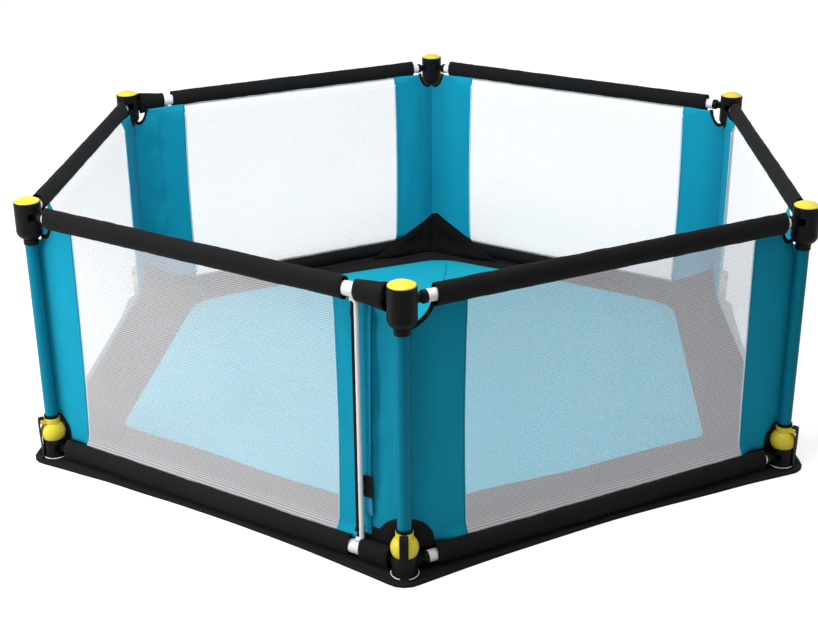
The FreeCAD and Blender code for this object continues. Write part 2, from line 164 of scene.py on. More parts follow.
def blend_colours(tree, factor, first, second):
    """Mix of two colours, each a link or a plain (r, g, b)."""
    pair = [value if isinstance(value, Signal) else (*value, 1) for value in (first, second)]
    return make_node(tree, "ShaderNodeMix", {"data_type": "RGBA"}, {0: factor, 6: pair[0], 7: pair[1]}, 2)


def shade(colour, share):
    """The same plain colour, darker or lighter."""
    return tuple(channel * share for channel in colour)


def new_material(name, build, **sockets):
    """A Principled material: sockets are constants, and build returns what varies over it."""
    material = bpy.data.materials.new(name)
    material.use_nodes = True
    tree = material.node_tree
    shader = tree.nodes["Principled BSDF"]
    for key, value in sockets.items():
        shader.inputs[key.replace("_", " ")].default_value = value
    for key, value in build(tree).items():
        tree.links.new(value.socket, shader.inputs[key])
    return material


def texture_place(tree, kind="Object"):
    """Object coordinates or the piece's own UV map, both in metres."""
    return make_node(tree, "ShaderNodeTexCoord", {}, {}, kind)


def noise_at(tree, place, scale, detail=3.0):
    """Cloudy noise from 0 to 1."""
    values = {"Vector": place, "Scale": scale, "Detail": detail, "Roughness": 0.55}
    return make_node(tree, "ShaderNodeTexNoise", {}, values, "Fac")


def bump(tree, height, strength, distance):
    """Normal that follows a height, where 1 stands for distance in metres."""
    values = {"Height": height, "Strength": strength, "Distance": distance}
    return make_node(tree, "ShaderNodeBump", {}, values, "Normal")


print("a wrapped socket has", [name for name, value in vars(Signal).items() if callable(value)])

# %% [markdown]
# ## Paint and plastic
# The posts are powder-coated steel: smooth and glossy, with the faint orange peel that such a coat
# always has.  The rails are the same coat in white.  Hubs, cups and arms are moulded in black
# plastic with a fine spark-eroded grain, and the buttons and bulbs in glossy yellow plastic.  Each
# is one Principled shader with a little noise in its roughness and its normal.

# %% Hard finishes
TEAL_PAINT = (0.002, 0.200, 0.305)
WHITE_PAINT = (0.80, 0.80, 0.82)
BLACK_PLASTIC = (0.0065, 0.0067, 0.0072)
YELLOW_PLASTIC = (0.76, 0.62, 0.040)


def coat(base, grain, depth, rough, spread):
    """What varies over a hard finish: tone by a hair, roughness, and a grain of some depth."""

    def build(tree):
        place = texture_place(tree)
        cloud = noise_at(tree, place, 9.0)
        fine = noise_at(tree, place, grain, 2.0)
        return {
            "Base Color": blend_colours(tree, cloud, base, shade(base, 0.86)),
            "Roughness": cloud * spread + rough,
            "Normal": bump(tree, fine, 0.35, depth),
        }

    return build


paint_coat = {"grain": 420.0, "spread": 0.1}
glossy_yellow = coat(YELLOW_PLASTIC, grain=700.0, depth=0.00004, rough=0.3, spread=0.12)


def button_plastic(tree):
    """Yellow crown; the skirt that slides inside the hub's rim is moulded in black."""
    sockets = glossy_yellow(tree)
    crown = texture_place(tree).axis("Z").above(HUB_RIM - 0.0012, 0.0004)
    sockets["Base Color"] = blend_colours(tree, crown, BLACK_PLASTIC, sockets["Base Color"])
    return sockets


teal_paint = new_material("teal_paint", coat(TEAL_PAINT, depth=0.00012, rough=0.2, **paint_coat),
                          Specular_IOR_Level=0.045)
white_paint = new_material("white_paint", coat(WHITE_PAINT, depth=0.0001, rough=0.3, **paint_coat),
                           Specular_IOR_Level=0.4)
hub_plastic = new_material("hub_plastic",
                           coat(BLACK_PLASTIC, grain=1500.0, depth=0.00012, rough=0.32, spread=0.12),
                           Specular_IOR_Level=0.065)
bulb_plastic = new_material("bulb_plastic", glossy_yellow, Specular_IOR_Level=0.3)
two_tone = new_material("button_plastic", button_plastic, Specular_IOR_Level=0.3)
hard_finishes = (teal_paint, white_paint, hub_plastic, bulb_plastic, two_tone)
print("hard finishes", [material.name for material in hard_finishes])

# %% [markdown]
# ## Finishing the frame's own nodes
# The hard parts are already in the scene, as meshes of the frame.  Their shapes stay as they are, and
# each only gets one of the finishes above.

# %% Finishes on the frame nodes


def finish_node(node, material):
    """Gives a frame node its material, in place of the plain one."""
    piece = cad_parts[node]
    piece.data.materials.clear()
    piece.data.materials.append(material)


for k in range(SIDES):
    finish_node(f"corner_{k}_post", teal_paint)
    finish_node(f"corner_{k}_hubs", hub_plastic)
    finish_node(f"corner_{k}_bulb", bulb_plastic)
    finish_node(f"corner_{k}_button", two_tone)
    finish_node(f"wall_{k}_arms", hub_plastic)
    finish_node(f"wall_{k}_rails", white_paint)
for k in GATES:
    finish_node(f"gate_{k}_rod", white_paint)
    finish_node(f"gate_{k}_zip_slider", hub_plastic)
print("hard finishes on", 6 * SIDES + 2 * len(GATES), "frame nodes")

# %% [markdown]
# ## Cloth
# Woven cloth is a grid of threads that pass over and under each other.  From a metre away only its
# sheen and a soft variation of tone show, and the weave shows close up.  The weave is two crossed
# sine waves on the cloth's own UV map, which is in metres, so the threads keep their size on every
# piece.  The see-through mesh is the same idea with holes: thick ribs run along the wall, thin
# threads cross them, and Alpha opens the gaps between.

# %% Soft finishes
BLACK_CLOTH = (0.0085, 0.0085, 0.009)
SHADED_CLOTH = (0.0045, 0.0045, 0.0045)
TEAL_CLOTH = (0.007, 0.305, 0.460)
MAT_TEAL = (0.009, 0.375, 0.510)
PIPING_BLUE = (0.50, 0.70, 0.80)
TAB_BLUE = (0.04, 0.30, 0.56)
MESH_WHITE = (0.59, 0.59, 0.60)
THREADS_PER_M = 900.0
WEBBING_THREADS_PER_M = 500.0
RIBS_PER_M = 210.0
CROSS_PER_M = 294.0
STITCHES_PER_M = 260.0
STITCH_IN = 0.0035
STITCH_HALF_W = 0.0009
HEM_W = 0.011
SEAM_SHADE_FROM = 0.088


def weave(base, threads, light=1.5, dark=0.75, rough=0.8, depth=0.0002):
    """Plain weave on the UV map, with patches of lighter and darker tone."""

    def build(tree):
        place = texture_place(tree, "UV")
        warp = place.axis("X").sine(threads)
        weft = place.axis("Y").sine(threads)
        threads_height = warp.math("MAXIMUM", weft)
        cloud = noise_at(tree, place, 7.0, 4.0)
        return {
            "Base Color": blend_colours(tree, cloud, shade(base, dark), shade(base, light)),
            "Roughness": cloud * 0.12 + (rough - 0.06),
            "Normal": bump(tree, threads_height, 0.5, depth),
        }

    return build


def stitched(base, light=1.10, dark=0.88):
    """Weave with a row of stitches and a hem where U is 0, and painted shade towards the corner seam."""

    def build(tree):
        sockets = weave(base, THREADS_PER_M, light, dark)(tree)
        place = texture_place(tree, "UV")
        from_edge = place.axis("X")
        near = 1 - (from_edge - STITCH_IN).math("ABSOLUTE").above(STITCH_HALF_W, 0.0004)
        dashes = place.axis("Y").sine(STITCHES_PER_M).above(0.35, 0.15)
        thread = near * dashes
        hem = 1 - from_edge.above(HEM_W, 0.0008)
        deep = shade(base, 0.32)
        # Painted shade: the cloth is darkened towards the corner seam, where the post keeps the light off.
        painted_seam_shade = from_edge.above(SEAM_SHADE_FROM, 0.036) * 0.24
        colour = blend_colours(tree, painted_seam_shade, sockets["Base Color"], deep)
        sockets["Base Color"] = blend_colours(tree, thread * 0.8, colour, deep)
        weave_height = place.axis("X").sine(THREADS_PER_M) * 0.18
        sockets["Normal"] = bump(tree, hem * 0.8 - thread * 0.6 + weave_height, 0.6, 0.0007)
        return sockets

    return build


def open_mesh(tree):
    """White knitted mesh: ribs along the wall, thin cross threads, see-through in between."""
    place = texture_place(tree, "UV")
    ribs = place.axis("Y").sine(RIBS_PER_M)
    crossing = place.axis("X").sine(CROSS_PER_M)
    cloud = noise_at(tree, place, 5.0, 3.0)
    threads = ribs * 0.72 + crossing * 0.28
    cover = threads * 0.36 + cloud * 0.08 + 0.30
    return {
        "Base Color": blend_colours(tree, threads, shade(MESH_WHITE, 0.86), MESH_WHITE),
        "Alpha": cover,
        "Normal": bump(tree, threads, 0.4, 0.0005),
    }


CLOTH = {"Specular_IOR_Level": 0.06, "Sheen_Weight": 0.02, "Sheen_Roughness": 0.4}
sleeve_cloth = new_material("sleeve_cloth", weave(BLACK_CLOTH, THREADS_PER_M), **CLOTH)
gusset_cloth = new_material("gusset_cloth", weave(SHADED_CLOTH, THREADS_PER_M), **CLOTH)
teal_cloth = new_material("teal_cloth", stitched(TEAL_CLOTH), **CLOTH)
mat_teal = new_material("mat_teal", weave(MAT_TEAL, THREADS_PER_M, 1.06, 0.92), **CLOTH)
piping_cloth = new_material("piping_cloth", weave(PIPING_BLUE, THREADS_PER_M, 1.1, 0.9), **CLOTH)
tab_cloth = new_material("tab_cloth", weave(TAB_BLUE, THREADS_PER_M, 1.1, 0.85), **CLOTH)
# Painted light: the mesh glows faintly white, in place of light that shines through its threads.
mesh_cloth = new_material("mesh_cloth", open_mesh, Roughness=0.8, Specular_IOR_Level=0.2,
                          Emission_Color=(0.92, 0.94, 1, 1), Emission_Strength=0.31)
webbing = new_material("webbing", weave(BLACK_CLOTH, WEBBING_THREADS_PER_M, 1.6, 0.8, 0.7, 0.0004), **CLOTH)
cloths = (sleeve_cloth, gusset_cloth, teal_cloth, mat_teal, piping_cloth, tab_cloth, mesh_cloth, webbing)
print("cloths", [material.name for material in cloths])

# %% [markdown]
# ## Turning a bmesh into a piece
# Every sewn piece is a bmesh in its wall's own frame.  A UV map in metres is written from two of
# its local axes, then the mesh is moved to its place, so that the finished object itself stays at
# the origin.  Most pieces then say which body they ride on and which plain frame node they stand in for.

# %% Helpers for pieces


def write_uv(bm, across, along):
    """UV map in metres from two local axes, or from two functions of a vertex."""
    layer = bm.loops.layers.uv.verify()
    for face in bm.faces:
        for loop in face.loops:
            place = loop.vert.co
            loop[layer].uv = (across(place), along(place))


def finish_piece(name, bm, material, matrix, rounded=True):
    """Object from a bmesh, placed, shaded as round or flat, and linked."""
    bm.transform(matrix)
    for face in bm.faces:
        face.smooth = rounded
    mesh = bpy.data.meshes.new(name)
    bm.to_mesh(mesh)
    bm.free()
    mesh.materials.append(material)
    piece = bpy.data.objects.new(name, mesh)
    bpy.context.scene.collection.objects.link(piece)
    return piece


def stand_in(piece, body, node):
    """Puts a piece on a body and hides the frame node that it replaces."""
    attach(piece, body)
    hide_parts(node)
    return piece


def ripple(place, scale, seed):
    """Smooth noise from -1 to 1 at a place, with waves of about 1 / scale metres."""
    return noise.noise(Vector((place.x * scale, place.y * scale, place.z * scale + seed * 7.3)))


def smooth(value):
    """0 to 1 with a soft start and a soft end; values outside stay at 0 or 1."""
    value = min(max(value, 0.0), 1.0)
    return value * value * (3 - 2 * value)


print("soft step at 0, 1/4, 1/2 and 1:", [smooth(step / 4) for step in (0, 1, 2, 4)])

# %% [markdown]
# ## Sleeves
# A sleeve is a strip of black cloth folded round the rail and sewn to itself below it, so it is
# round over the tube and hangs a little under it.  It could be a swept curve, but a ring of
# vertices spun along the wall gives every cross-section its own vertices, and a little noise then
# pulls them into the shallow puckers that sewing leaves.

# %% Sewn sleeves
SLEEVE_HALF_W = 0.0150
SLEEVE_HALF_H = 0.0235
SLEEVE_START = 0.068
TOP_START = {(5, 0): 0.056, (0, 1): 0.058}
LOW_START = {(5, 0): 0.045, (0, 1): 0.056}
GAP_NEAR = 0.1025
GAP_FAR = 0.1275
SHORT_START = 0.0335
SHORT_SIZES = (0.92, 1.22)
SLEEVE_HEM = 0.009
HEM_SIZE = 1.02
SLEEVE_SIDES = 28
SEAM_NARROWER = 0.30
SLEEVE_WAVE = 0.0010
PUCKER = 0.045
FINE_PUCKER = 0.03
LARGEST_PUCKER = 1.03
SLEEVE_STEP = 0.008
SLEEVE_T = 0.0009
ON_THE_MAT = MAT_TOP + 0.0012


def sleeve_ring(bm, x, z):
    """Cross-section of a sleeve: half a circle over the tube, drawn in to a seam below it."""
    made = bmesh.ops.create_circle(bm, segments=SLEEVE_SIDES, radius=1.0)
    for vert in made["verts"]:
        side, up = vert.co.x, vert.co.y
        narrow = 1.0 if up > 0 else 1.0 - SEAM_NARROWER * up * up
        vert.co = Vector((x, side * SLEEVE_HALF_W * narrow, z + up * SLEEVE_HALF_H))
    return made["verts"]


def sew_tunnel(bm, start, end, z, seed, first_size, last_size):
    """One tunnel of cloth from start to end, puckered, with a thicker hem at each mouth."""
    ring = sleeve_ring(bm, start, z)
    edges = list(dict.fromkeys(edge for vert in ring for edge in vert.link_edges))
    steps = max(8, round((end - start) / SLEEVE_STEP))
    before = set(bm.verts) - set(ring)
    step = Vector(((end - start) / steps, 0, 0))
    bmesh.ops.spin(bm, geom=edges, cent=(0, 0, 0), axis=(1, 0, 0), dvec=step, angle=0, steps=steps)
    for vert in set(bm.verts) - before:
        place = vert.co.copy()
        mouth = min(place.x - start, end - place.x)
        hem = HEM_SIZE if mouth < SLEEVE_HEM else 1.0
        pucker = 1 + PUCKER * ripple(place, 22, seed) + FINE_PUCKER * ripple(place, 60, seed + 3)
        centre = Vector((place.x, 0, z))
        size = first_size + (last_size - first_size) * (place.x - start) / (end - start)
        vert.co = centre + (place - centre) * (hem * size * min(pucker, LARGEST_PUCKER))
        vert.co.z += SLEEVE_WAVE * ripple(Vector((place.x, 0, 0)), 5, seed)
        vert.co.z = max(vert.co.z, ON_THE_MAT)


def sleeve_spans(wall, z):
    """(start, end, first size, last size) of each tunnel on one rail of a wall."""
    starts = TOP_START if z == RAIL_TOP else LOW_START
    near, far = (starts.get((wall, end), SLEEVE_START) for end in (0, 1))
    if wall not in GATES:
        return [(near, SIDE - far, 1.0, 1.0)]
    sizes = SHORT_SIZES if z == RAIL_TOP else (1.0, 1.0)
    return [(near, SIDE - GAP_FAR, 1.0, 1.0), (SIDE - GAP_NEAR, SIDE - SHORT_START, *sizes)]


def make_sleeves(wall):
    """All the tunnels of one wall, as one piece."""
    bm = bmesh.new()
    length = 0.0
    for level, z in enumerate((RAIL_LOW, RAIL_TOP)):
        for start, end, *sizes in sleeve_spans(wall, z):
            sew_tunnel(bm, start, end, z, wall * 5 + level * 2, *sizes)
            length += end - start
    bmesh.ops.recalc_face_normals(bm, faces=bm.faces)
    write_uv(bm, lambda p: p.x, lambda p: math.atan2(p.z - RAIL_TOP, p.y) * SLEEVE_HALF_H)
    bmesh.ops.solidify(bm, geom=list(bm.faces), thickness=SLEEVE_T)
    piece = finish_piece(f"sleeves_{wall}", bm, sleeve_cloth, wall_matrix(wall))
    stand_in(piece, f"wall_{wall}", f"wall_{wall}_sleeves")
    return piece


sleeves = [make_sleeves(k) for k in range(SIDES)]
print("sleeves", len(sleeves), "with", len(sleeves[0].data.vertices), "vertices each")

# %% [markdown]
# ## Cloth walls
# Between its sleeves each wall is one panel: white mesh in the middle and a strip of teal cloth at
# each end.  The cloth hangs on the inner side of the tubes and passes inside the posts, so at each
# corner the two strips lean inwards to meet in a seam, close to the post but further out where the
# bulb, the stop ring and the hub stand in the way.  A place on the cloth is given by u along the wall
# from a post's axis and by z, and the functions here turn it into a point.

# %% Places on the cloth
CLOTH_OFF = 0.0008
CORNER_TURN = 0.045
HALF_CORNER = math.pi / 2 - math.pi / SIDES
TUCK_TOP = RAIL_TOP - 0.015
TUCK_LOW = RAIL_LOW + 0.0175
TUCK_IN_TOP = 0.0065
TUCK_IN_LOW = 0.0120
TUCK_TOP_DEEP = 0.018
TUCK_LOW_DEEP = 0.022
TUCK_FROM = 0.075
TUCK_OVER = 0.05
SEAM_AT_POST = 0.0151
SEAM_AT_RINGS = 0.0193
SEAM_AT_HUB = 0.0221
BULB_MIDDLE = 0.0655
BULB_R = 0.0288
BULB_CLEAR_R = 0.0305
STOP_RING_TOP = 0.1086
STOP_RING_R = 0.0182
RING_CLEAR = 0.0008
RING_EASE = 0.008
POST_R = 0.0145
HUB_FOOT = RAIL_TOP - 0.088
HUB_EASE = 0.035
CLOTH_T = 0.0011


def seam_distance(z):
    """How far inside the post's axis the corner seam runs: further out at the bulb and the hub."""
    above = max(z - BULB_MIDDLE, 0.0)
    over_bulb = math.sqrt(max(BULB_CLEAR_R**2 - above**2, 0.0))
    by_ring = 1 - smooth((z - STOP_RING_TOP) / RING_EASE)
    by_hub = smooth((z - HUB_FOOT) / HUB_EASE)
    over_ring = SEAM_AT_POST + (SEAM_AT_RINGS - SEAM_AT_POST) * by_ring
    over_hub = SEAM_AT_POST + (SEAM_AT_HUB - SEAM_AT_POST) * by_hub
    return max(over_bulb, over_ring, over_hub)


def post_side(z):
    """How far the bulb, the stop ring or the post reaches towards the seam at this height."""
    above = max(z - BULB_MIDDLE, 0.0)
    bulb = math.sqrt(max(BULB_R**2 - above**2, 0.0))
    return max(bulb, STOP_RING_R if z < STOP_RING_TOP + RING_CLEAR else POST_R)


def turn_in(u, y, z, seam):
    """Blends from the flat of the wall to the corner seam, which lies on the corner's bisector."""
    if u >= CORNER_TURN:
        return Vector((u, y, z))
    at_seam = Vector((seam * math.cos(HALF_CORNER), seam * math.sin(HALF_CORNER), z))
    return at_seam.lerp(Vector((CORNER_TURN, y, z)), max(u, 0.0) / CORNER_TURN)


def cloth_point(u, z, lift=0.0):
    """Place on the cloth at u along the wall from the post's axis; lift is towards the middle."""
    tuck = TUCK_IN_TOP * smooth((z - TUCK_TOP + TUCK_TOP_DEEP) / TUCK_TOP_DEEP)
    tuck += TUCK_IN_LOW * smooth((TUCK_LOW + TUCK_LOW_DEEP - z) / TUCK_LOW_DEEP)
    y = CLOTH_Y + CLOTH_OFF - tuck * smooth((u - TUCK_FROM) / TUCK_OVER) + lift
    return turn_in(u, y, z, seam_distance(z) + lift)


seam_mm = [round(seam_distance(z) * 1000, 1) for z in (BULB_MIDDLE, 0.3, RAIL_TOP - 0.05)]
print("seam from the post's axis at the bulb, half-way and at the hub, mm", seam_mm)

# %% [markdown]
# ## One grid for every cloth
# Each cut of cloth has straight sides but often a curved edge.  A boolean cut would leave ragged
# faces there.  Instead one helper takes Blender's own grid and asks a function for the place of each
# vertex, column by column, so that the rows of quads follow the edge.  Bands of oval section, such as
# piping, are the same grid with its rows wrapped once round the section.

# %% Grids and bands
ROUND_ROWS = 13
MERGE = 0.00005


def mapped_grid(count, rows, place):
    """Grid of quads whose vertex in column i and at height share t lies at place(i, t).

    place returns the point and its (u, v) on the flat cloth, in metres.
    """
    bm = bmesh.new()
    bmesh.ops.create_grid(bm, x_segments=count - 1, y_segments=rows - 1, size=0.5)
    flat = {}
    for vert in bm.verts:
        column = round((vert.co.x + 0.5) * (count - 1))
        point, flat[vert] = place(column, vert.co.y + 0.5)
        vert.co = point
    layer = bm.loops.layers.uv.verify()
    for face in bm.faces:
        for loop in face.loops:
            loop[layer].uv = flat[loop.vert]
    return bm


def oval_band(count, line, half_wide, half_thick, lift):
    """Closed band of oval section along a line on the cloth.

    line(i) returns the line's (u, z) and the unit (du, dz) across it.
    """
    girth = math.pi * (half_wide + half_thick)

    def place(column, share):
        turn = math.tau * share
        (u, z), (du, dz) = line(column)
        out = half_wide * math.cos(turn)
        at = cloth_point(u + du * out, z + dz * out, lift + half_thick * math.sin(turn))
        return at, (girth * share, 0.006 * column)

    bm = mapped_grid(count, ROUND_ROWS, place)
    close_band(bm)
    return bm


def close_band(bm):
    """Joins a band whose rows go once round its section, and fills its two ends."""
    bmesh.ops.remove_doubles(bm, verts=bm.verts, dist=MERGE)
    rims = [edge for edge in bm.edges if edge.is_boundary]
    bmesh.ops.holes_fill(bm, edges=rims, sides=0)
    bmesh.ops.recalc_face_normals(bm, faces=bm.faces)


trial = mapped_grid(4, 3, lambda column, share: (Vector((column, 0, share)), (column, share)))
print("a trial grid has", len(trial.verts), "vertices and", len(trial.faces), "faces")
trial.free()

# %% [markdown]
# ## Cloth that crosses a swivel
# A wall turns on the pins beside its post, and the cloth is sewn into the corner seam behind the post.
# Here a piece at a wall's end has its place baked into its mesh and rides on no body; only at the
# one pivot where the ring of walls opens does it ride on the wall.  The size and the area of its flat
# cut are worked out, but not used.

# %% Ends of walls and cloth pieces


def to_far_end(bm):
    """Mirrors a piece from the wall's first end to its far end."""
    bm.transform(Matrix.Translation((SIDE, 0, 0)) @ Matrix.Diagonal((-1, 1, 1, 1)))
    bmesh.ops.reverse_faces(bm, faces=bm.faces)


def cut_size(bm):
    """Width, length and area of the flat cut, from the places that its corners have on it."""
    layer = bm.loops.layers.uv.verify()
    area = 0.0
    places = []
    for face in bm.faces:
        flat = [loop[layer].uv.copy() for loop in face.loops]
        places += flat
        area += abs(sum(a.cross(b) for a, b in zip(flat, flat[1:] + flat[:1]))) / 2
    wide = max(p.x for p in places) - min(p.x for p in places)
    tall = max(p.y for p in places) - min(p.y for p in places)
    return wide, tall, min(area, wide * tall)


OPEN_PIVOT = (3, 0)
BLEND_FROM = 0.052
BLEND_TO = 0.010
PIVOT_HEIGHT = 0.3


def ride_or_blend(piece, wall, end):
    """A piece at a wall's end: on the wall at the open pivot, and elsewhere only baked in place."""
    if (wall, end) == OPEN_PIVOT:
        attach(piece, f"wall_{wall}")
        return
    start = Vector((BLEND_FROM, CLOTH_Y, PIVOT_HEIGHT))
    finish = Vector((BLEND_TO, CLOTH_Y, PIVOT_HEIGHT))
    if end:
        start.x, finish.x = SIDE - start.x, SIDE - finish.x
    place = wall_matrix(wall)
    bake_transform(piece)


def place_cloth(name, bm, wall, end, material):
    if end:
        to_far_end(bm)
    piece = finish_piece(name, bm, material, wall_matrix(wall))
    ride_or_blend(piece, wall, end)
    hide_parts(f"wall_{wall}_cloth")
    return piece


def cloth_piece(name, bm, wall, end, material, thickness):
    size = cut_size(bm)
    bmesh.ops.recalc_face_normals(bm, faces=bm.faces)
    bmesh.ops.solidify(bm, geom=list(bm.faces), thickness=thickness)
    return place_cloth(name, bm, wall, end, material)


print("cloth ends blend over", round((BLEND_FROM - BLEND_TO) * 1000), "mm")

# %% [markdown]
# ## Cut of the end strips
# A strip is plain teal cloth, from the corner seam to the mesh.  It is cut out in an arc round the
# hub, and it is a little narrower half-way up, because the mesh pulls its edge towards the corner.

# %% Outline of a strip
STRIP_WIDTHS = {
    (0, 0): 0.148, (0, 1): 0.120, (1, 0): 0.128, (1, 1): 0.134, (2, 0): 0.132, (2, 1): 0.152,
    (3, 0): 0.136, (3, 1): 0.160, (4, 0): 0.130, (4, 1): 0.128, (5, 0): 0.108, (5, 1): 0.168,
}
WAIST = 0.03
STRAIGHT = {(5, 0): 0.006, (0, 1): 0.012}
FOOT_TAKE = {(5, 0): 0.10, (0, 1): 0.07}
HUB_CUT_X = 0.016
HUB_CUT = (0.034, 0.052)
WIDE_CUT = (0.062, 0.064)
WIDE_CUT_AT = (0, 0)
CUT_ENDS = math.radians(76)
CUT_STEPS = 16
COLUMN_STEP = 0.005


def waist_of(wall, end, share):
    """How much narrower a strip is at this share of its height, as a part of its width."""
    waist = STRAIGHT.get((wall, end), WAIST) * math.sin(math.pi * share)
    return waist + FOOT_TAKE.get((wall, end), 0.0) * (1 - share) ** 3


def hub_cut(wall, end, share):
    """(u, z) on the cut-out round the hub and the unit across it, from the seam to the sleeve."""
    wide, tall = WIDE_CUT if (wall, end) == WIDE_CUT_AT else HUB_CUT
    first = -math.asin(HUB_CUT_X / wide)
    angle = first + (CUT_ENDS - first) * share
    across = Vector((math.sin(angle) * tall, -math.cos(angle) * wide)).normalized()
    return HUB_CUT_X + wide * math.sin(angle), RAIL_TOP - tall * math.cos(angle), across


def strip_columns(wall, end, width):
    """(u, top) of each column of an end strip, from the corner seam to the mesh."""
    round_hub = [hub_cut(wall, end, step / CUT_STEPS)[:2] for step in range(CUT_STEPS + 1)]
    start = round_hub[-1][0]
    steps = round((width - start) / COLUMN_STEP)
    rest = [(start + (width - start) * step / steps, TUCK_TOP) for step in range(1, steps + 1)]
    return [(max(u, 0.0), top) for u, top in round_hub] + rest


print("strip widths, mm", [round(width * 1000) for width in STRIP_WIDTHS.values()])

# %% [markdown]
# ## Welts in the corner seams
# Where the strips of two walls meet, a welt covers the seam on the side of the post: a cord with teal
# cloth folded over it, which fills the narrow gap between the seam and the post.  It stands still with
# the post, while the strips on either side turn.  Its section is an oval that reaches from the post's
# side to the seam, so it swings out round the bulb as the seam does.

# %% Welts
SEAM_TOP = RAIL_TOP - 0.060
WELT_FOOT = TUCK_LOW + 0.004
WELT_OVER = 0.0010
WELT_HALF_W = 0.0022
WELT_STEPS = 150


def make_welt(corner):
    """Cord of folded cloth that covers a corner seam on the side of the post."""

    def place(column, share):
        turn = math.tau * share
        z = WELT_FOOT + (SEAM_TOP - WELT_FOOT) * column / WELT_STEPS
        inner, outer = post_side(z), seam_distance(z) + WELT_OVER
        out = (inner + outer) / 2 + (outer - inner) / 2 * math.cos(turn)
        side = WELT_HALF_W * math.sin(turn)
        x = out * math.cos(HALF_CORNER) - side * math.sin(HALF_CORNER)
        y = out * math.sin(HALF_CORNER) + side * math.cos(HALF_CORNER)
        return Vector((x, y, z)), (0.05 + side, z)

    bm = mapped_grid(WELT_STEPS + 1, ROUND_ROWS, place)
    close_band(bm)
    piece = finish_piece(f"welt_{corner}", bm, teal_cloth, wall_matrix(corner))
    return stand_in(piece, f"post_{corner}", f"wall_{corner}_cloth")


welts = [make_welt(corner) for corner in range(SIDES)]
print("welts", len(welts), "of", round((SEAM_TOP - WELT_FOOT) * 1000), "mm")

# %% [markdown]
# ## Creases and the finished strips
# A strip hangs almost flat but for long soft creases that fan out from the corner, which come from low
# noise that is stretched upwards.  At a gate the creases slant and are deeper, the zip keeps the cloth
# flat, and the cloth lies back behind the flap.  The UV map starts at the edge towards the mesh, where
# the row of stitches is.

# %% Strips at both ends of every wall
ZIP_U = 0.119
ZIP_CALM = 0.018
FLAT_BELOW = 0.092
FLAP_RECESS = 0.006
BEHIND_FLAP_U = 0.084
BEHIND_FLAP_Z = 0.150
UPRIGHT_CREASE = 0.0022
FINE_CREASE = 0.0007
SLANT_CREASE = 0.0034
STRIP_ROWS = 84


def pulled(u, z, seed, gate):
    """Creases: long and upright on a plain strip, slanting and deeper where a gate is zipped."""
    upright = UPRIGHT_CREASE * ripple(Vector((u * 5, 0, z * 0.7)), 6, seed)
    fine = FINE_CREASE * ripple(Vector((u * 3, 0, z)), 18, seed + 40)
    if not gate:
        return upright + fine
    slant = SLANT_CREASE * ripple(Vector((u * 2.2 + z * 0.9, 0, z * 2.0 - u * 1.5)), 9, seed + 80)
    behind_flap = smooth((BEHIND_FLAP_U - u) / 0.012) * smooth((z - BEHIND_FLAP_Z) / 0.05)
    off_zip = 1 - math.exp(-(((u - ZIP_U) / ZIP_CALM) ** 2))
    return (upright + fine + slant * smooth((0.120 - u) / 0.03)) * off_zip + FLAP_RECESS * behind_flap


def make_strip(wall, end):
    """A creased strip between a corner seam and the mesh."""
    width = STRIP_WIDTHS[wall, end]
    columns = strip_columns(wall, end, width)
    seed = wall * 2 + end
    gate = wall in GATES and end == 1

    def place(column, share):
        u, top = columns[column]
        z = TUCK_LOW + (top - TUCK_LOW) * share
        waist = 1 - waist_of(wall, end, share) * u / width
        calm = smooth(u / 0.05) * smooth((z - FLAT_BELOW) / 0.06) * smooth((top - z) / 0.05)
        return cloth_point(u * waist, z, pulled(u, z, seed, gate) * calm), (width - u, z)

    bm = mapped_grid(len(columns), STRIP_ROWS, place)
    return cloth_piece(f"strip_{wall}_{end}", bm, wall, end, teal_cloth, CLOTH_T)


strips = [make_strip(wall, end) for wall in range(SIDES) for end in (0, 1)]
print("strips", len(strips), "of", sorted({len(strip.data.vertices) for strip in strips}), "vertices")

# %% [markdown]
# ## Mesh fields
# The mesh is one large single layer.  It has no thickness worth modelling, and Alpha between its
# threads would count twice on a doubled sheet, so it stays a single grid that sags a little.

# %% Mesh between the strips
FIELD_COLUMNS = 61
FIELD_ROWS = 36
FIELD_WAVE = 0.004
CLEAR_OF_CORNER = 0.2


def make_mesh_field(wall):
    """The mesh of one wall, drawn out of shape by the strips and a little wavy."""
    near = STRIP_WIDTHS[wall, 0]
    far = SIDE - STRIP_WIDTHS[wall, 1]

    def place(column, share):
        part = column / (FIELD_COLUMNS - 1)
        u = near + (far - near) * part
        z = TUCK_LOW + (TUCK_TOP - TUCK_LOW) * share
        pull = near * waist_of(wall, 0, share) * (1 - part)
        pull -= (SIDE - far) * waist_of(wall, 1, share) * part
        calm = smooth(share / 0.2) * smooth((1 - share) / 0.2)
        wave = ripple(Vector((u, 0, z)), 4, wall + 60) * FIELD_WAVE * calm
        edge = min(u - near, far - u)
        at = cloth_point(CLEAR_OF_CORNER, z, wave * smooth(edge / 0.05))
        at.x = u - pull
        return at, (u, z)

    bm = mapped_grid(FIELD_COLUMNS, FIELD_ROWS, place)
    piece = finish_piece(f"mesh_{wall}", bm, mesh_cloth, wall_matrix(wall))
    return stand_in(piece, f"wall_{wall}", f"wall_{wall}_cloth")


fields = [make_mesh_field(wall) for wall in range(SIDES)]
print("mesh fields", len(fields), "with", FIELD_COLUMNS * FIELD_ROWS, "vertices each")

# %% [markdown]
# ## Piping
# Where the mesh meets a strip, a narrow pale piping covers the raw edges on the inner side.  It is a
# band of oval section: a grid whose rows go once round the section, closed by merging the doubles.

# %% Piping along the mesh
PIPING_HALF_W = 0.0024
PIPING_HALF_T = 0.0010
PIPING_LIFT = CLOTH_T + 0.0006
PIPING_FROM = 0.04
PIPING_SPAN = 0.92
PIPING_STEPS = 40


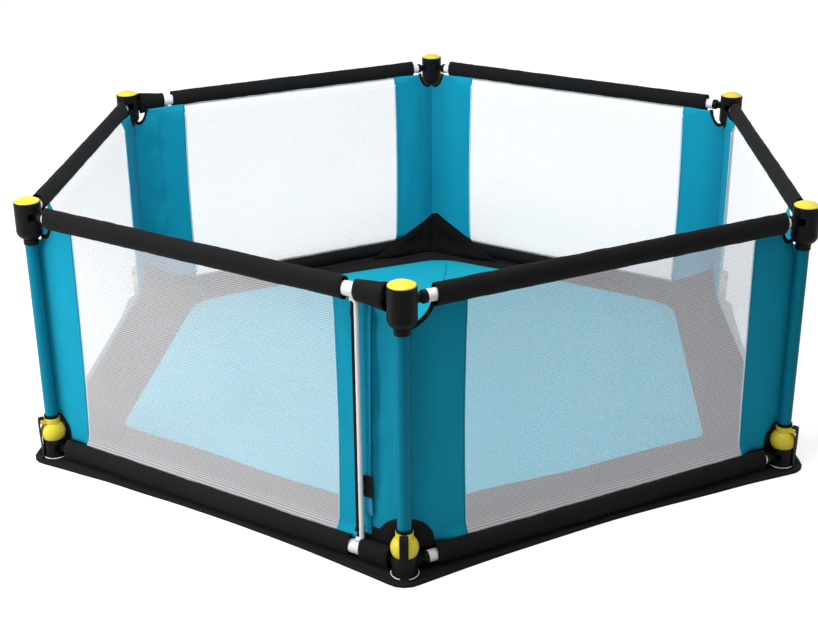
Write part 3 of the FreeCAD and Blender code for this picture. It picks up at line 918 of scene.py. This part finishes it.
def make_piping(wall, end):
    """Piping over one seam between mesh and strip."""
    width = STRIP_WIDTHS[wall, end]

    def line(column):
        share = PIPING_FROM + PIPING_SPAN * column / PIPING_STEPS
        z = TUCK_LOW + (TUCK_TOP - TUCK_LOW) * share
        return (width * (1 - waist_of(wall, end, share)), z), (1, 0)

    bm = oval_band(PIPING_STEPS + 1, line, PIPING_HALF_W, PIPING_HALF_T, PIPING_LIFT)
    if end:
        to_far_end(bm)
    piece = finish_piece(f"piping_{wall}_{end}", bm, piping_cloth, wall_matrix(wall))
    return stand_in(piece, f"wall_{wall}", f"wall_{wall}_cloth")


for wall in range(SIDES):
    [make_piping(wall, end) for end in (0, 1)]
print("pipings", 2 * SIDES, "of", round(PIPING_SPAN * (TUCK_TOP - TUCK_LOW) * 1000), "mm")

# %% [markdown]
# ## Tapes round the hubs
# The cut edge of a strip round a hub is bound with folded black tape, which stands proud on both faces.
# It is the same band of oval section, on a line that turns with the cut.

# %% Tapes round the hubs
TAPE_HALF_W = 0.0055
TAPE_HALF_T = 0.0017
TAPE_LIFT = 0.0002
TAPE_STEPS = 24


def path_length(path):
    """Length of a line through points."""
    return sum(math.dist(a, b) for a, b in zip(path, path[1:]))


def make_tape(wall, end):
    """Binding of the cut-out round a hub."""
    places = [hub_cut(wall, end, 0.03 + 0.97 * step / TAPE_STEPS) for step in range(TAPE_STEPS + 1)]

    def line(column):
        u, z, across = places[column]
        return (u, z), across

    bm = oval_band(TAPE_STEPS + 1, line, TAPE_HALF_W, TAPE_HALF_T, TAPE_LIFT)
    length = path_length([place[:2] for place in places])
    return place_cloth(f"tape_{wall}_{end}", bm, wall, end, sleeve_cloth)


tapes = [make_tape(wall, end) for wall in range(SIDES) for end in (0, 1)]
print("tapes", len(tapes))

# %% [markdown]
# ## Arches behind the bulbs
# Black cloth is sewn over the foot of each corner on both faces.  Outside it is a low arch behind
# the bulb, a quarter of an ellipse on each wall, laid just off the teal cloth.  Beside a zip it runs
# on level as far as the rod.

# %% Arches
PATCH_T = 0.0012
PATCH_LIFT = 0.0018
ARCH = (0.037, 0.058)
WIDE_ARCH = (0.075, 0.066)
ARCH_FOOT = RAIL_LOW + 0.021
WIDE_ARCHES = ((0, 0), (2, 0), (4, 0), (3, 1), (5, 1))
ARCH_BELOW = 0.004
ARCH_STEPS = 24
ARCH_ROWS = 12
GATE_ARCH_REACH = 0.118
GATE_ARCH_TOP = 0.078
GATE_ARCH_DROP = 0.020
DROP_FROM = 0.103
DROP_OVER = 0.008


def arch_top(u, size):
    """Outside: highest behind the bulb, down to the sleeve at its reach."""
    reach, rise = size
    return ARCH_FOOT + rise * math.sqrt(max(1 - (u / reach) ** 2, 0.0))


def make_arch(wall, end):
    """Black patch outside the foot of a corner, on one wall."""
    gate = wall in GATES and end == 1
    size = WIDE_ARCH if (wall, end) in WIDE_ARCHES else ARCH
    reach = GATE_ARCH_REACH if gate else size[0]

    def place(column, share):
        u = reach * column / ARCH_STEPS
        low = TUCK_LOW - ARCH_BELOW
        beside_zip = GATE_ARCH_TOP - GATE_ARCH_DROP * smooth((u - DROP_FROM) / DROP_OVER)
        top = max(arch_top(u, size), beside_zip) if gate else arch_top(u, size)
        z = low + (top - low) * share
        return cloth_point(u, z, -PATCH_LIFT), (u, z)

    bm = mapped_grid(ARCH_STEPS + 1, ARCH_ROWS, place)
    return cloth_piece(f"arch_{wall}_{end}", bm, wall, end, sleeve_cloth, PATCH_T)


arches = [make_arch(wall, end) for wall in range(SIDES) for end in (0, 1)]
print("arches", len(arches), "of which", len(WIDE_ARCHES), "are wide")

# %% [markdown]
# ## Gussets inside the corners
# Inside, a black gusset runs from a peak on the corner seam down over the low sleeves and spreads on
# the mat, so that a child can't reach the cup.  Its top edge is straight, its face bags a little, and
# its foot flares out where it lies on the mat.

# %% Gussets
GUSSET_AT_SEAM = 0.121
GUSSET_PEAK = {(2, 1): (0.027, 0.128)}
GUSSET_REACH = 0.134
WIDE_REACH = {(2, 1): 0.166}
SLEEVE_TOP = RAIL_LOW + 0.023
GUSSET_OFF = 0.0020
GUSSET_OFF_FOOT = 0.0040
GUSSET_BAG = 0.011
FLARE = 0.020
FLARE_HEIGHT = 0.045
GUSSET_STEPS = 40
GUSSET_ROWS = 22


def gusset_line(wall, end):
    """(peak u, peak z, slope, reach): the straight top edge goes from the peak down to the mat."""
    peak_u, peak_z = GUSSET_PEAK.get((wall, end), (0.0, GUSSET_AT_SEAM))
    slope = (peak_z - SLEEVE_TOP) / (WIDE_REACH.get((wall, end), GUSSET_REACH) - peak_u)
    return peak_u, peak_z, slope, peak_u + (peak_z - MAT_TOP - 0.002) / slope


def gusset_top(u, peak_u, peak_z, slope):
    """Height of the top edge at u."""
    if u < peak_u:
        return GUSSET_AT_SEAM + (peak_z - GUSSET_AT_SEAM) * smooth(u / peak_u)
    return peak_z - slope * (u - peak_u)


def make_gusset(wall, end):
    """Black cloth from the corner seam over a low sleeve to the mat."""
    peak_u, peak_z, slope, reach = gusset_line(wall, end)
    low = MAT_TOP + 0.0008
    seed = wall * 2 + end

    def place(column, share):
        out = column / GUSSET_STEPS
        u = reach * out
        z = low + (gusset_top(u, peak_u, peak_z, slope) - low) * share
        ends = smooth((1 - out) / 0.35)
        calm = smooth(share / 0.25) * smooth((1 - share) / 0.25) * smooth(u / 0.02) * ends
        soft = 0.5 + 0.5 * ripple(Vector((u * 0.7 + z * 0.9, 0, z * 0.5 - u * 0.3)), 19, seed + 20)
        lift = GUSSET_OFF + (GUSSET_OFF_FOOT - GUSSET_OFF) * smooth((1 - share) / 0.35)
        lift += GUSSET_BAG * soft * calm
        lift += FLARE * (1 - smooth((z - MAT_TOP) / FLARE_HEIGHT)) * (0.1 + 0.9 * ends)
        return turn_in(u, CLOTH_Y + lift, z, seam_distance(z) + lift), (u, z)

    bm = mapped_grid(GUSSET_STEPS + 1, GUSSET_ROWS, place)
    return cloth_piece(f"gusset_{wall}_{end}", bm, wall, end, gusset_cloth, PATCH_T)


gussets = [make_gusset(wall, end) for wall in range(SIDES) for end in (0, 1)]
print("gussets", len(gussets), "up to", round(GUSSET_AT_SEAM * 1000), "mm high at the seam")

# %% [markdown]
# ## Gate
# On two walls the strip beside a corner opens with an upright zip next to the rod that holds the
# rails apart.  A narrow flap of the same cloth lies between rod and post, with a free edge that
# lifts a little.  Flap, tape, label and tab are all small upright sheets on the outer face, so one
# helper lays them, each with a function for how far it stands off the strip.

# %% Flaps
FLAP_SEWN = 0.112
FLAP_FREE = (0.087, 0.077)
FLAP_Z = (TUCK_LOW + 0.006, RAIL_TOP - 0.021)
FLAP_T = 0.0010
FLAP_OFF = 0.0016
FLAP_LIFT = 0.0028
FLAP_WAVE = 0.0022
SIDE_COLUMNS = 12
SIDE_ROW = 0.008


def side_sheet(name, wall, span, z_span, height, material, thickness, bend):
    """Small upright sheet on the outer face of a wall's far end; height(across, up) lifts it."""
    rows = max(6, round((z_span[1] - z_span[0]) / SIDE_ROW))

    def place(column, share):
        z = z_span[0] + (z_span[1] - z_span[0]) * share
        edge = span[0] + bend * share
        across = column / SIDE_COLUMNS
        u = edge + (span[1] - edge) * across
        return cloth_point(u, z, -height(across, share)), (u, z)

    bm = mapped_grid(SIDE_COLUMNS + 1, rows, place)
    return cloth_piece(name, bm, wall, 1, material, thickness)


def make_flap(wall):
    """Flap beside the zip: flat where it is sewn, and lifted along its free edge."""

    def height(across, up):
        wave = 0.5 + 0.5 * ripple(Vector((across * 0.02, 0, up * 0.5)), 7, wall + 33)
        free = (1 - across) ** 1.5 * smooth(up / 0.1) * smooth((1 - up) / 0.1)
        return FLAP_OFF + (FLAP_LIFT + FLAP_WAVE * wave) * free

    bend = FLAP_FREE[1] - FLAP_FREE[0]
    span = (FLAP_FREE[0], FLAP_SEWN)
    return side_sheet(f"flap_{wall}", wall, span, FLAP_Z, height, teal_cloth, FLAP_T, bend)


flaps = [make_flap(wall) for wall in GATES]
print("flaps", len(flaps), "of", round((FLAP_SEWN - FLAP_FREE[0]) * 1000), "mm")

# %% [markdown]
# ## Zips
# A zip is a dark tape with a row of small teeth.  Each tooth is a cube made flat and bevelled, and a
# loop repeats it up the tape.  All the teeth of a zip are one piece, because they never part here.

# %% Zip tapes and teeth
ZIP_LOW = TUCK_LOW + 0.012
ZIP_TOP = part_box("gate_5_zip_slider")[1][2] - 0.004
ZIP_TAPE_HALF_W = 0.0065
ZIP_TAPE_OFF = 0.0014
ZIP_TAPE_T = 0.0008
TOOTH_PITCH = 0.0026
TOOTH_OFF = 0.0028
TOOTH_SIZE = (0.0030, 0.0012, 0.0015)
TOOTH_BEVEL = 0.0003
TEETH = int((ZIP_TOP - ZIP_LOW) / TOOTH_PITCH)


def make_zip(wall):
    """Tape with its teeth on a gate's outer face."""
    span = (ZIP_U - ZIP_TAPE_HALF_W, ZIP_U + ZIP_TAPE_HALF_W)
    side_sheet(f"zip_tape_{wall}", wall, span, (ZIP_LOW, ZIP_TOP + 0.02), lambda across, up: ZIP_TAPE_OFF,
               sleeve_cloth, ZIP_TAPE_T, 0.0)
    bm = bmesh.new()
    size = Matrix.Diagonal((*TOOTH_SIZE, 1))
    for index in range(TEETH):
        at = cloth_point(ZIP_U, ZIP_LOW + TOOTH_PITCH * index, -TOOTH_OFF)
        bmesh.ops.create_cube(bm, size=1, matrix=Matrix.Translation(at) @ size)
    bmesh.ops.bevel(bm, geom=list(bm.edges), offset=TOOTH_BEVEL, offset_type="OFFSET", segments=1,
                    profile=0.5, affect="EDGES", material=-1)
    to_far_end(bm)
    teeth = finish_piece(f"zip_teeth_{wall}", bm, hub_plastic, wall_matrix(wall), rounded=False)
    return stand_in(teeth, f"wall_{wall}", f"wall_{wall}_cloth")


zips = [make_zip(wall) for wall in GATES]
print("zips", len(zips), "with", TEETH, "teeth each")

# %% [markdown]
# ## Label and pull tab
# A small black label and a blue tab to hold the flap by hang from the flap of the front gate.  Both
# are left blank.

# %% Label and pull tab
LABEL_GATE = 5
LABEL_SPAN = (0.0785, 0.104)
LABEL_Z = (0.147, 0.194)
TAB_SPAN = (0.080, 0.0985)
TAB_Z = (0.106, 0.151)
LABEL_OFF = 0.0072
TAB_OFF = 0.0062
LEAN = 0.0008
LABEL_T = 0.0012
TAB_T = 0.0010
TAB_BEND = 0.002

label = side_sheet("label", LABEL_GATE, LABEL_SPAN, LABEL_Z, lambda across, up: LABEL_OFF - LEAN * up,
                   sleeve_cloth, LABEL_T, 0.0)
tab = side_sheet("pull_tab", LABEL_GATE, TAB_SPAN, TAB_Z, lambda across, up: TAB_OFF - LEAN * up,
                 tab_cloth, TAB_T, TAB_BEND)
print("label and tab", [len(piece.data.polygons) for piece in (label, tab)], "faces")

# %% [markdown]
# ## Floor mat
# The mat is a hexagon of thin black padded cloth with a teal panel let into it.  Its outline has a
# round lobe about each foot, and between two lobes the edge is an arc that bows inwards and is a
# little wavy, as a cut of cloth is.

# %% Outline of the mat
LOBE_R = 0.047
LOBE_TURN = math.radians(32)
MAT_HEM = 0.024
HEM_WAVE = 0.0045
CALM_FROM = math.radians(3)
CALM_OVER = math.radians(9)


def ray_circle(angle, centre, radius, side=1):
    """Distance from the middle to the far side (1) or the near side (-1) of a circle."""
    aim = Vector((math.cos(angle), math.sin(angle)))
    middle = aim.dot(centre)
    return middle + side * math.sqrt(middle * middle - centre.length_squared + radius * radius)


def fold_angle(angle):
    """Angle from the nearest corner, which points to -Y and every 60 degrees on."""
    step = math.tau / SIDES
    return abs((angle + math.pi / 2 + step / 2) % step - step / 2)


HALF_STEP = math.pi / SIDES
CORNER = Vector((SIDE, 0))
LOBE_END = CORNER + LOBE_R * Vector((math.cos(LOBE_TURN), math.sin(LOBE_TURN)))
MIDWAY = Vector((math.cos(HALF_STEP), math.sin(HALF_STEP)))
EDGE_AT_MIDWAY = APOTHEM + MAT_HEM
EDGE_CENTRE = MIDWAY * ((LOBE_END.length_squared - EDGE_AT_MIDWAY**2)
                        / (2 * (LOBE_END.dot(MIDWAY) - EDGE_AT_MIDWAY)))
EDGE_R = (LOBE_END - EDGE_CENTRE).length


def mat_radius(angle):
    """Outline of the mat: a lobe about each foot, and bowed, slightly wavy edges in between."""
    turn = fold_angle(angle)
    if turn < math.atan2(LOBE_END.y, LOBE_END.x):
        return ray_circle(turn, CORNER, LOBE_R)
    plain = ray_circle(turn, EDGE_CENTRE, EDGE_R, -1)
    free = smooth((turn - CALM_FROM) / CALM_OVER)
    return plain + HEM_WAVE * free * ripple(Vector((math.cos(angle), math.sin(angle), 0)), 5, 17)


mat_sizes = [round(mat_radius(angle), 4) for angle in (-math.pi / 2, -math.pi / 3)]
print("mat's edge from the middle, at a corner and between two corners, m", mat_sizes)

# %% [markdown]
# ## Base and hem of the mat
# Seen from above the black base is a set of rings about the middle, so the grid helper lays it out with
# its columns as directions and its rows as steps outwards; the columns meet again and the inner row
# closes to a point when their doubles are merged.  The bound edge is the same grid, only its last
# rings, a little higher.

# %% Base and hem
SPOKES = 360
BASE_RINGS = 16
HEM_RINGS = 5
BASE_SUNK = 0.0012
BASE_UNEVEN = 0.0006
BASE_T = 0.0028
HEM_FROM = 0.987
HEM_RISE = 0.0015
HEM_T = 0.003


def polar_grid(rings, radius, height, inner=0.0):
    """Closed rings about the middle; radius and height give the place of (angle, share)."""

    def place(column, share):
        angle = math.tau * column / SPOKES
        out = inner + (1 - inner) * share
        r = radius(angle) * out
        at = Vector((r * math.cos(angle), r * math.sin(angle), height(angle, out, r)))
        return at, (at.x, at.y)

    bm = mapped_grid(SPOKES + 1, rings, place)
    bmesh.ops.remove_doubles(bm, verts=bm.verts, dist=MERGE)
    return bm


def face_up(bm):
    """Turns a flat sheet's faces so that they look upwards."""
    bmesh.ops.recalc_face_normals(bm, faces=bm.faces)
    if sum(face.normal.z for face in bm.faces) < 0:
        bmesh.ops.reverse_faces(bm, faces=bm.faces)


def mat_piece(name, bm, material, node, thickness):
    face_up(bm)
    bmesh.ops.solidify(bm, geom=list(bm.faces), thickness=thickness)
    piece = finish_piece(name, bm, material, Matrix.Identity(4))
    stand_in(piece, "post_0", node)
    return piece


def base_height(angle, out, r):
    """The base is flat but for slight unevenness."""
    at = Vector((r * math.cos(angle), r * math.sin(angle), 0))
    return MAT_TOP - BASE_SUNK + BASE_UNEVEN * ripple(at, 14, 90)


def hem_height(angle, out, r):
    """The bound edge is round on top."""
    return MAT_TOP + HEM_RISE * math.sin(math.pi * (out - HEM_FROM) / (1 - HEM_FROM))


base = mat_piece("mat_base_cloth", polar_grid(BASE_RINGS, mat_radius, base_height), sleeve_cloth,
                 "mat_base", BASE_T)
hem = mat_piece("mat_hem", polar_grid(HEM_RINGS, mat_radius, hem_height, HEM_FROM), webbing,
                "mat_base", HEM_T)
print("base and hem", [len(piece.data.vertices) for piece in (base, hem)], "vertices")

# %% [markdown]
# ## Teal panel
# The panel is quilted over thin foam.  It is a hexagon with rounder corners at the back than in front,
# and it lies a little askew and nearer to the far corner of the yard, as a loose mat does.  It could be
# laid out in rings like the base, but they would meet in a dimple at the middle, which a flat panel
# doesn't have.  So its grid runs in columns across the yard, and each column reaches from the front
# edge to the back edge.

# %% Outline of the panel
PAD_HALF = APOTHEM - 0.138
BACK_ROUND = 0.12
FRONT_ROUND = 0.035


def corner_round(y):
    """Radius of the panel's corners in front of its middle and behind it."""
    return FRONT_ROUND if y < 0 else BACK_ROUND


def rounding_centre(corner_r):
    """How far from the panel's middle the centre of a rounded corner is."""
    return (PAD_HALF - corner_r) / math.cos(HALF_STEP)


def pad_reach(x, corner_r):
    """The panel's reach at x from its own middle, forwards or back, with corners of this radius."""
    x = abs(x)
    round_in = rounding_centre(corner_r)
    if x <= corner_r * math.sin(HALF_STEP):
        return round_in + math.sqrt(corner_r**2 - x * x)
    side_x = round_in * math.cos(HALF_STEP)
    side_y = round_in * math.sin(HALF_STEP)
    if x >= side_x + corner_r * math.sin(HALF_STEP):
        return side_y + math.sqrt(max(corner_r**2 - (x - side_x) ** 2, 0.0))
    return PAD_HALF / math.cos(HALF_STEP) - x * math.tan(HALF_STEP)


def edge_distance(x, y):
    """Distance inwards from the panel's edge, taken from its six sides and its corners."""
    sides = [x * math.cos(a) + y * math.sin(a) for a in (math.tau * k / SIDES for k in range(SIDES))]
    flat = PAD_HALF - max(sides)
    along = math.hypot(x, y)
    turn = fold_angle(math.atan2(y, x))
    corner_r = corner_round(y)
    round_in = rounding_centre(corner_r)
    corner = corner_r - math.hypot(along * math.cos(turn) - round_in, along * math.sin(turn))
    beyond = along * math.cos(turn) > round_in + abs(along * math.sin(turn)) / math.tan(HALF_STEP)
    return corner if beyond else flat


pad_long = pad_reach(0, FRONT_ROUND) + pad_reach(0, BACK_ROUND)
print("panel", round(2 * PAD_HALF, 3), "by", round(pad_long, 3), "m before it is drawn in at the back")

# %% [markdown]
# ## Swell and fold of the panel
# The panel swells inside its edge and dips at the seam on which the mat folds in half.  That dip is
# only a few millimetres wide, so the columns are close together there and wider apart elsewhere.  At
# the back the panel is drawn in by the seam, and in front its edge is pulled out and a little wavy.

# %% Panel of the mat
PAD_BACK = 0.075
PAD_ASKEW = 0.040
DRAWN_IN = 0.026
DRAWN_HALF_W = 0.22
PULLED_OUT = 0.018
EDGE_WAVE = 0.003
PAD_SWELL = 0.0034
PAD_SOFT = 0.0011
PAD_CREASE = 0.0007
PAD_SUNK = 0.0008
SWELL_IN = 0.035
PAD_T = 0.0015
PAD_ROWS = 90
FOLD_X = 0.022
FOLD_DEPTH = 0.0040
FOLD_HALF_W = 0.0024
FOLD_STEPS = (0.0, 0.0015, 0.003, 0.005, 0.008, 0.012, 0.018)
SIDE_STEPS = 60


def pad_columns():
    """x of the columns: close at the fold and where the corners turn."""
    columns = {FOLD_X + side * step for step in FOLD_STEPS for side in (-1, 1)}
    for side in (-1, 1):
        start = FOLD_X + side * FOLD_STEPS[-1]
        span = side * PAD_HALF - start
        turns = [math.pi / 2 * step / SIDE_STEPS for step in range(1, SIDE_STEPS + 1)]
        columns |= {start + span * math.sin(turn) for turn in turns}
    return sorted(columns)


def pad_height(x, y):
    """Swell inside the edge, the dip of the fold, and shallow creases from being stored folded."""
    inside = smooth(edge_distance(x, y) / SWELL_IN)
    fold = FOLD_DEPTH * math.exp(-(((x - FOLD_X) / FOLD_HALF_W) ** 2))
    soft = PAD_SOFT * ripple(Vector((x, y, 0)), 3.2, 91)
    soft += PAD_CREASE * ripple(Vector((x * 2.2, y * 0.5, 0)), 6, 92)
    return MAT_TOP - PAD_SUNK + (PAD_SWELL - fold + soft) * inside


def make_panel():
    """The teal panel, one thin padded layer."""
    columns = pad_columns()

    def place(column, share):
        x = columns[column]
        y = pad_reach(x, corner_round(share - 0.5)) * math.sin(math.pi * (share - 0.5))
        drawn = DRAWN_IN * math.exp(-((x / DRAWN_HALF_W) ** 2)) * smooth(y / 0.4)
        pulled_out = PULLED_OUT * smooth((x - 0.1) / 0.4) + EDGE_WAVE * math.sin(x * 19 + 1)
        middle_y = PAD_BACK - drawn - pulled_out * smooth(-y / 0.3)
        return Vector((x + PAD_ASKEW * y, y + middle_y, pad_height(x, y))), (x, y)

    bm = mapped_grid(len(columns), PAD_ROWS, place)
    return mat_piece("mat_panel", bm, mat_teal, "mat_pad", PAD_T)


panel = make_panel()
print("panel", [round(size, 3) for size in panel.dimensions], "m")

# %% [markdown]
# ## Straps
# A loop of black elastic is sewn to the mat in front of each foot and hooks over the ear above the
# bulb.  It is a flat band on a curved path, so it is a narrow grid along that path, made thick.  The
# path is a list of points, each a distance out from the post's axis and a height, chosen so
# that the band clears the ear, the bulb and the cup.

# %% Elastic straps
STRAP_W = 0.018
STRAP_T = 0.0014
STRAP_ROWS = 6
STRAP_PATH = [(0.0185, 0.1024), (0.0240, 0.1027), (0.0285, 0.1024), (0.0307, 0.0995), (0.0312, 0.0930),
              (0.0310, 0.0810), (0.0308, 0.0680), (0.0306, 0.0555), (0.0300, 0.0420), (0.0294, 0.0300),
              (0.0290, 0.0190), (0.0292, 0.0125), (0.0310, 0.0078), (0.0350, 0.0062), (0.0400, 0.0060)]


def make_strap(corner):
    """Elastic band from a corner of the mat up over the foot."""
    outward = POSTS[corner].normalized()
    across = Vector((-outward.y, outward.x, 0))

    def place(column, share):
        r, z = STRAP_PATH[column]
        at = POSTS[corner] + outward * r + across * (STRAP_W * (share - 0.5))
        at.z = z
        return at, (STRAP_W * share, path_length(STRAP_PATH[:column + 1]))

    bm = mapped_grid(len(STRAP_PATH), STRAP_ROWS, place)
    bmesh.ops.recalc_face_normals(bm, faces=bm.faces)
    bmesh.ops.solidify(bm, geom=list(bm.faces), thickness=STRAP_T)
    piece = finish_piece(f"strap_{corner}", bm, webbing, Matrix.Identity(4))
    stand_in(piece, f"post_{corner}", f"corner_{corner}_strap")
    path_length(STRAP_PATH)
    return piece


straps = [make_strap(corner) for corner in range(SIDES)]
print("straps", len(straps), "of", round(path_length(STRAP_PATH) * 1000), "mm")

# %% [markdown]
# ## Rings under the cups
# Under each cup a thin pale ring shows as a line.  It is a torus, which bmesh doesn't offer,
# so a small circle is stood up and spun once round the post.  The last step is merged with the first,
# and because a spin can turn a shape inside out, the normals are worked out afterwards.

# %% Pale rings
FOOT_RING_R = 0.0279
FOOT_RING_Z = 0.0071
FOOT_RING_T = 0.0011
RING_STEPS = 48


def make_foot_ring(corner):
    """Thin pale ring at the foot of a cup."""
    bm = bmesh.new()
    bmesh.ops.create_circle(bm, segments=10, radius=FOOT_RING_T)
    upright = Matrix.Rotation(math.radians(90), 4, "X")
    bm.transform(Matrix.Translation((FOOT_RING_R, 0, FOOT_RING_Z)) @ upright)
    bmesh.ops.spin(bm, geom=list(bm.edges), cent=(0, 0, 0), axis=(0, 0, 1), angle=math.tau,
                   steps=RING_STEPS, use_merge=True)
    bmesh.ops.remove_doubles(bm, verts=bm.verts, dist=MERGE)
    bmesh.ops.recalc_face_normals(bm, faces=bm.faces)
    piece = finish_piece(f"foot_ring_{corner}", bm, white_paint, Matrix.Translation(POSTS[corner]))
    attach(piece, f"post_{corner}")
    return piece


rings = [make_foot_ring(corner) for corner in range(SIDES)]
print("foot rings", len(rings))

# %% [markdown]
# ## Studio
# The yard stands on a pale floor in a white world.  The floor is white to the camera, to mirrors and
# through the mesh, but keeps the shadow that the yard casts.

# %% Floor and world
FLOOR_GREY = (0.58, 0.58, 0.58, 1)
FLOOR_GLOW = 0.64
FLOOR_HALF = 16.0
AMBIENT = 0.20


def seen_directly(tree):
    """1 on rays from the camera, from glossy surfaces and through clear ones, otherwise 0."""
    rays = [make_node(tree, "ShaderNodeLightPath", {}, {}, name)
            for name in ("Is Camera Ray", "Is Glossy Ray", "Is Transmission Ray")]
    return rays[0].math("MAXIMUM", rays[1]).math("MAXIMUM", rays[2])


def pale_floor(tree):
    """Glow that only direct rays see, so that it doesn't light the yard from below."""
    return {"Emission Color": blend_colours(tree, seen_directly(tree), (0, 0, 0), (1, 1, 1))}


def make_floor():
    """Large pale plane, on no body of the yard."""
    bm = bmesh.new()
    bmesh.ops.create_grid(bm, x_segments=1, y_segments=1, size=FLOOR_HALF)
    material = new_material("studio_floor", pale_floor, Base_Color=FLOOR_GREY, Roughness=0.95,
                            Specular_IOR_Level=0.1, Emission_Strength=FLOOR_GLOW)
    floor = finish_piece("floor", bm, material, Matrix.Identity(4))
    return floor


def make_world():
    """White to direct rays, and dim to everything else, so that the lamps shape the light."""
    world = bpy.data.worlds.new("studio")
    bpy.context.scene.world = world
    world.use_nodes = True
    tree = world.node_tree
    background = tree.nodes["Background"]
    background.inputs["Color"].default_value = (1, 1, 1, 1)
    strength = seen_directly(tree) * (1 - AMBIENT) + AMBIENT
    tree.links.new(strength.socket, background.inputs["Strength"])


floor = make_floor()
make_world()
print("floor", round(floor.dimensions.x), "m wide, ambient light", AMBIENT)

# %% [markdown]
# ## Lamps
# The lamps are broad and soft.  One is like an overcast sky, one hangs over the yard, and the third
# stands low on the left, so the right-hand walls are darker outside.

# %% Lamps


def add_lamp(name, kind, place, power, aim, **shape):
    """Lamp at a place, turned to shine at aim."""
    data = bpy.data.lights.new(name, kind)
    data.energy = power
    for key, value in shape.items():
        setattr(data, key, value)
    lamp = bpy.data.objects.new(name, data)
    lamp.location = place
    lamp.rotation_euler = (Vector(aim) - Vector(place)).to_track_quat("-Z", "Y").to_euler()
    bpy.context.scene.collection.objects.link(lamp)
    return lamp


lamps = [
    add_lamp("sky", "SUN", (-0.25, -0.25, 3.0), 1.35, (0, 0, 0), angle=math.radians(80)),
    add_lamp("over_yard", "AREA", (-0.3, -0.85, 2.3), 44, (0.05, 0.75, 0.15), shape="DISK", size=1.4),
    add_lamp("from_left", "AREA", (-2.35, -1.35, 1.0), 36, (-0.75, -0.5, 0.3), shape="DISK", size=1.4),
]
print("lamps", {lamp.name: round(lamp.data.energy, 2) for lamp in lamps})

# %% [markdown]
# ## Camera
# The camera stands in front of corner 0 and a little to its right, and looks down at the yard.  Its
# three axes are worked out from how far it is pitched, turned and rolled, and set as one matrix.

# %% Camera
CAMERA_PLACE = (0.1242, -3.3794, 1.5627)
LENS = 62.9
SENSOR_WIDTH = 36
PITCH = math.radians(22.693)
YAW = math.radians(2.642)
ROLL = -0.00894

camera_data = bpy.data.cameras.new("camera")
camera_data.lens = LENS
camera_data.sensor_width = SENSOR_WIDTH
camera = bpy.data.objects.new("camera", camera_data)
bpy.context.scene.collection.objects.link(camera)
back = Vector((math.sin(YAW) * math.cos(PITCH), -math.cos(YAW) * math.cos(PITCH), math.sin(PITCH)))
right = (-back).cross(Vector((0, 0, 1))).normalized()
up = back.cross(right)
turned_right = right * math.cos(ROLL) + up * math.sin(ROLL)
turned_up = up * math.cos(ROLL) - right * math.sin(ROLL)
aim = Matrix((turned_right, turned_up, back)).transposed().to_4x4()
camera.matrix_world = Matrix.Translation(CAMERA_PLACE) @ aim
bpy.context.scene.camera = camera
bpy.context.scene.view_settings.view_transform = "Standard"
print("camera", [round(value, 3) for value in camera.matrix_world.translation])

# %% [markdown]
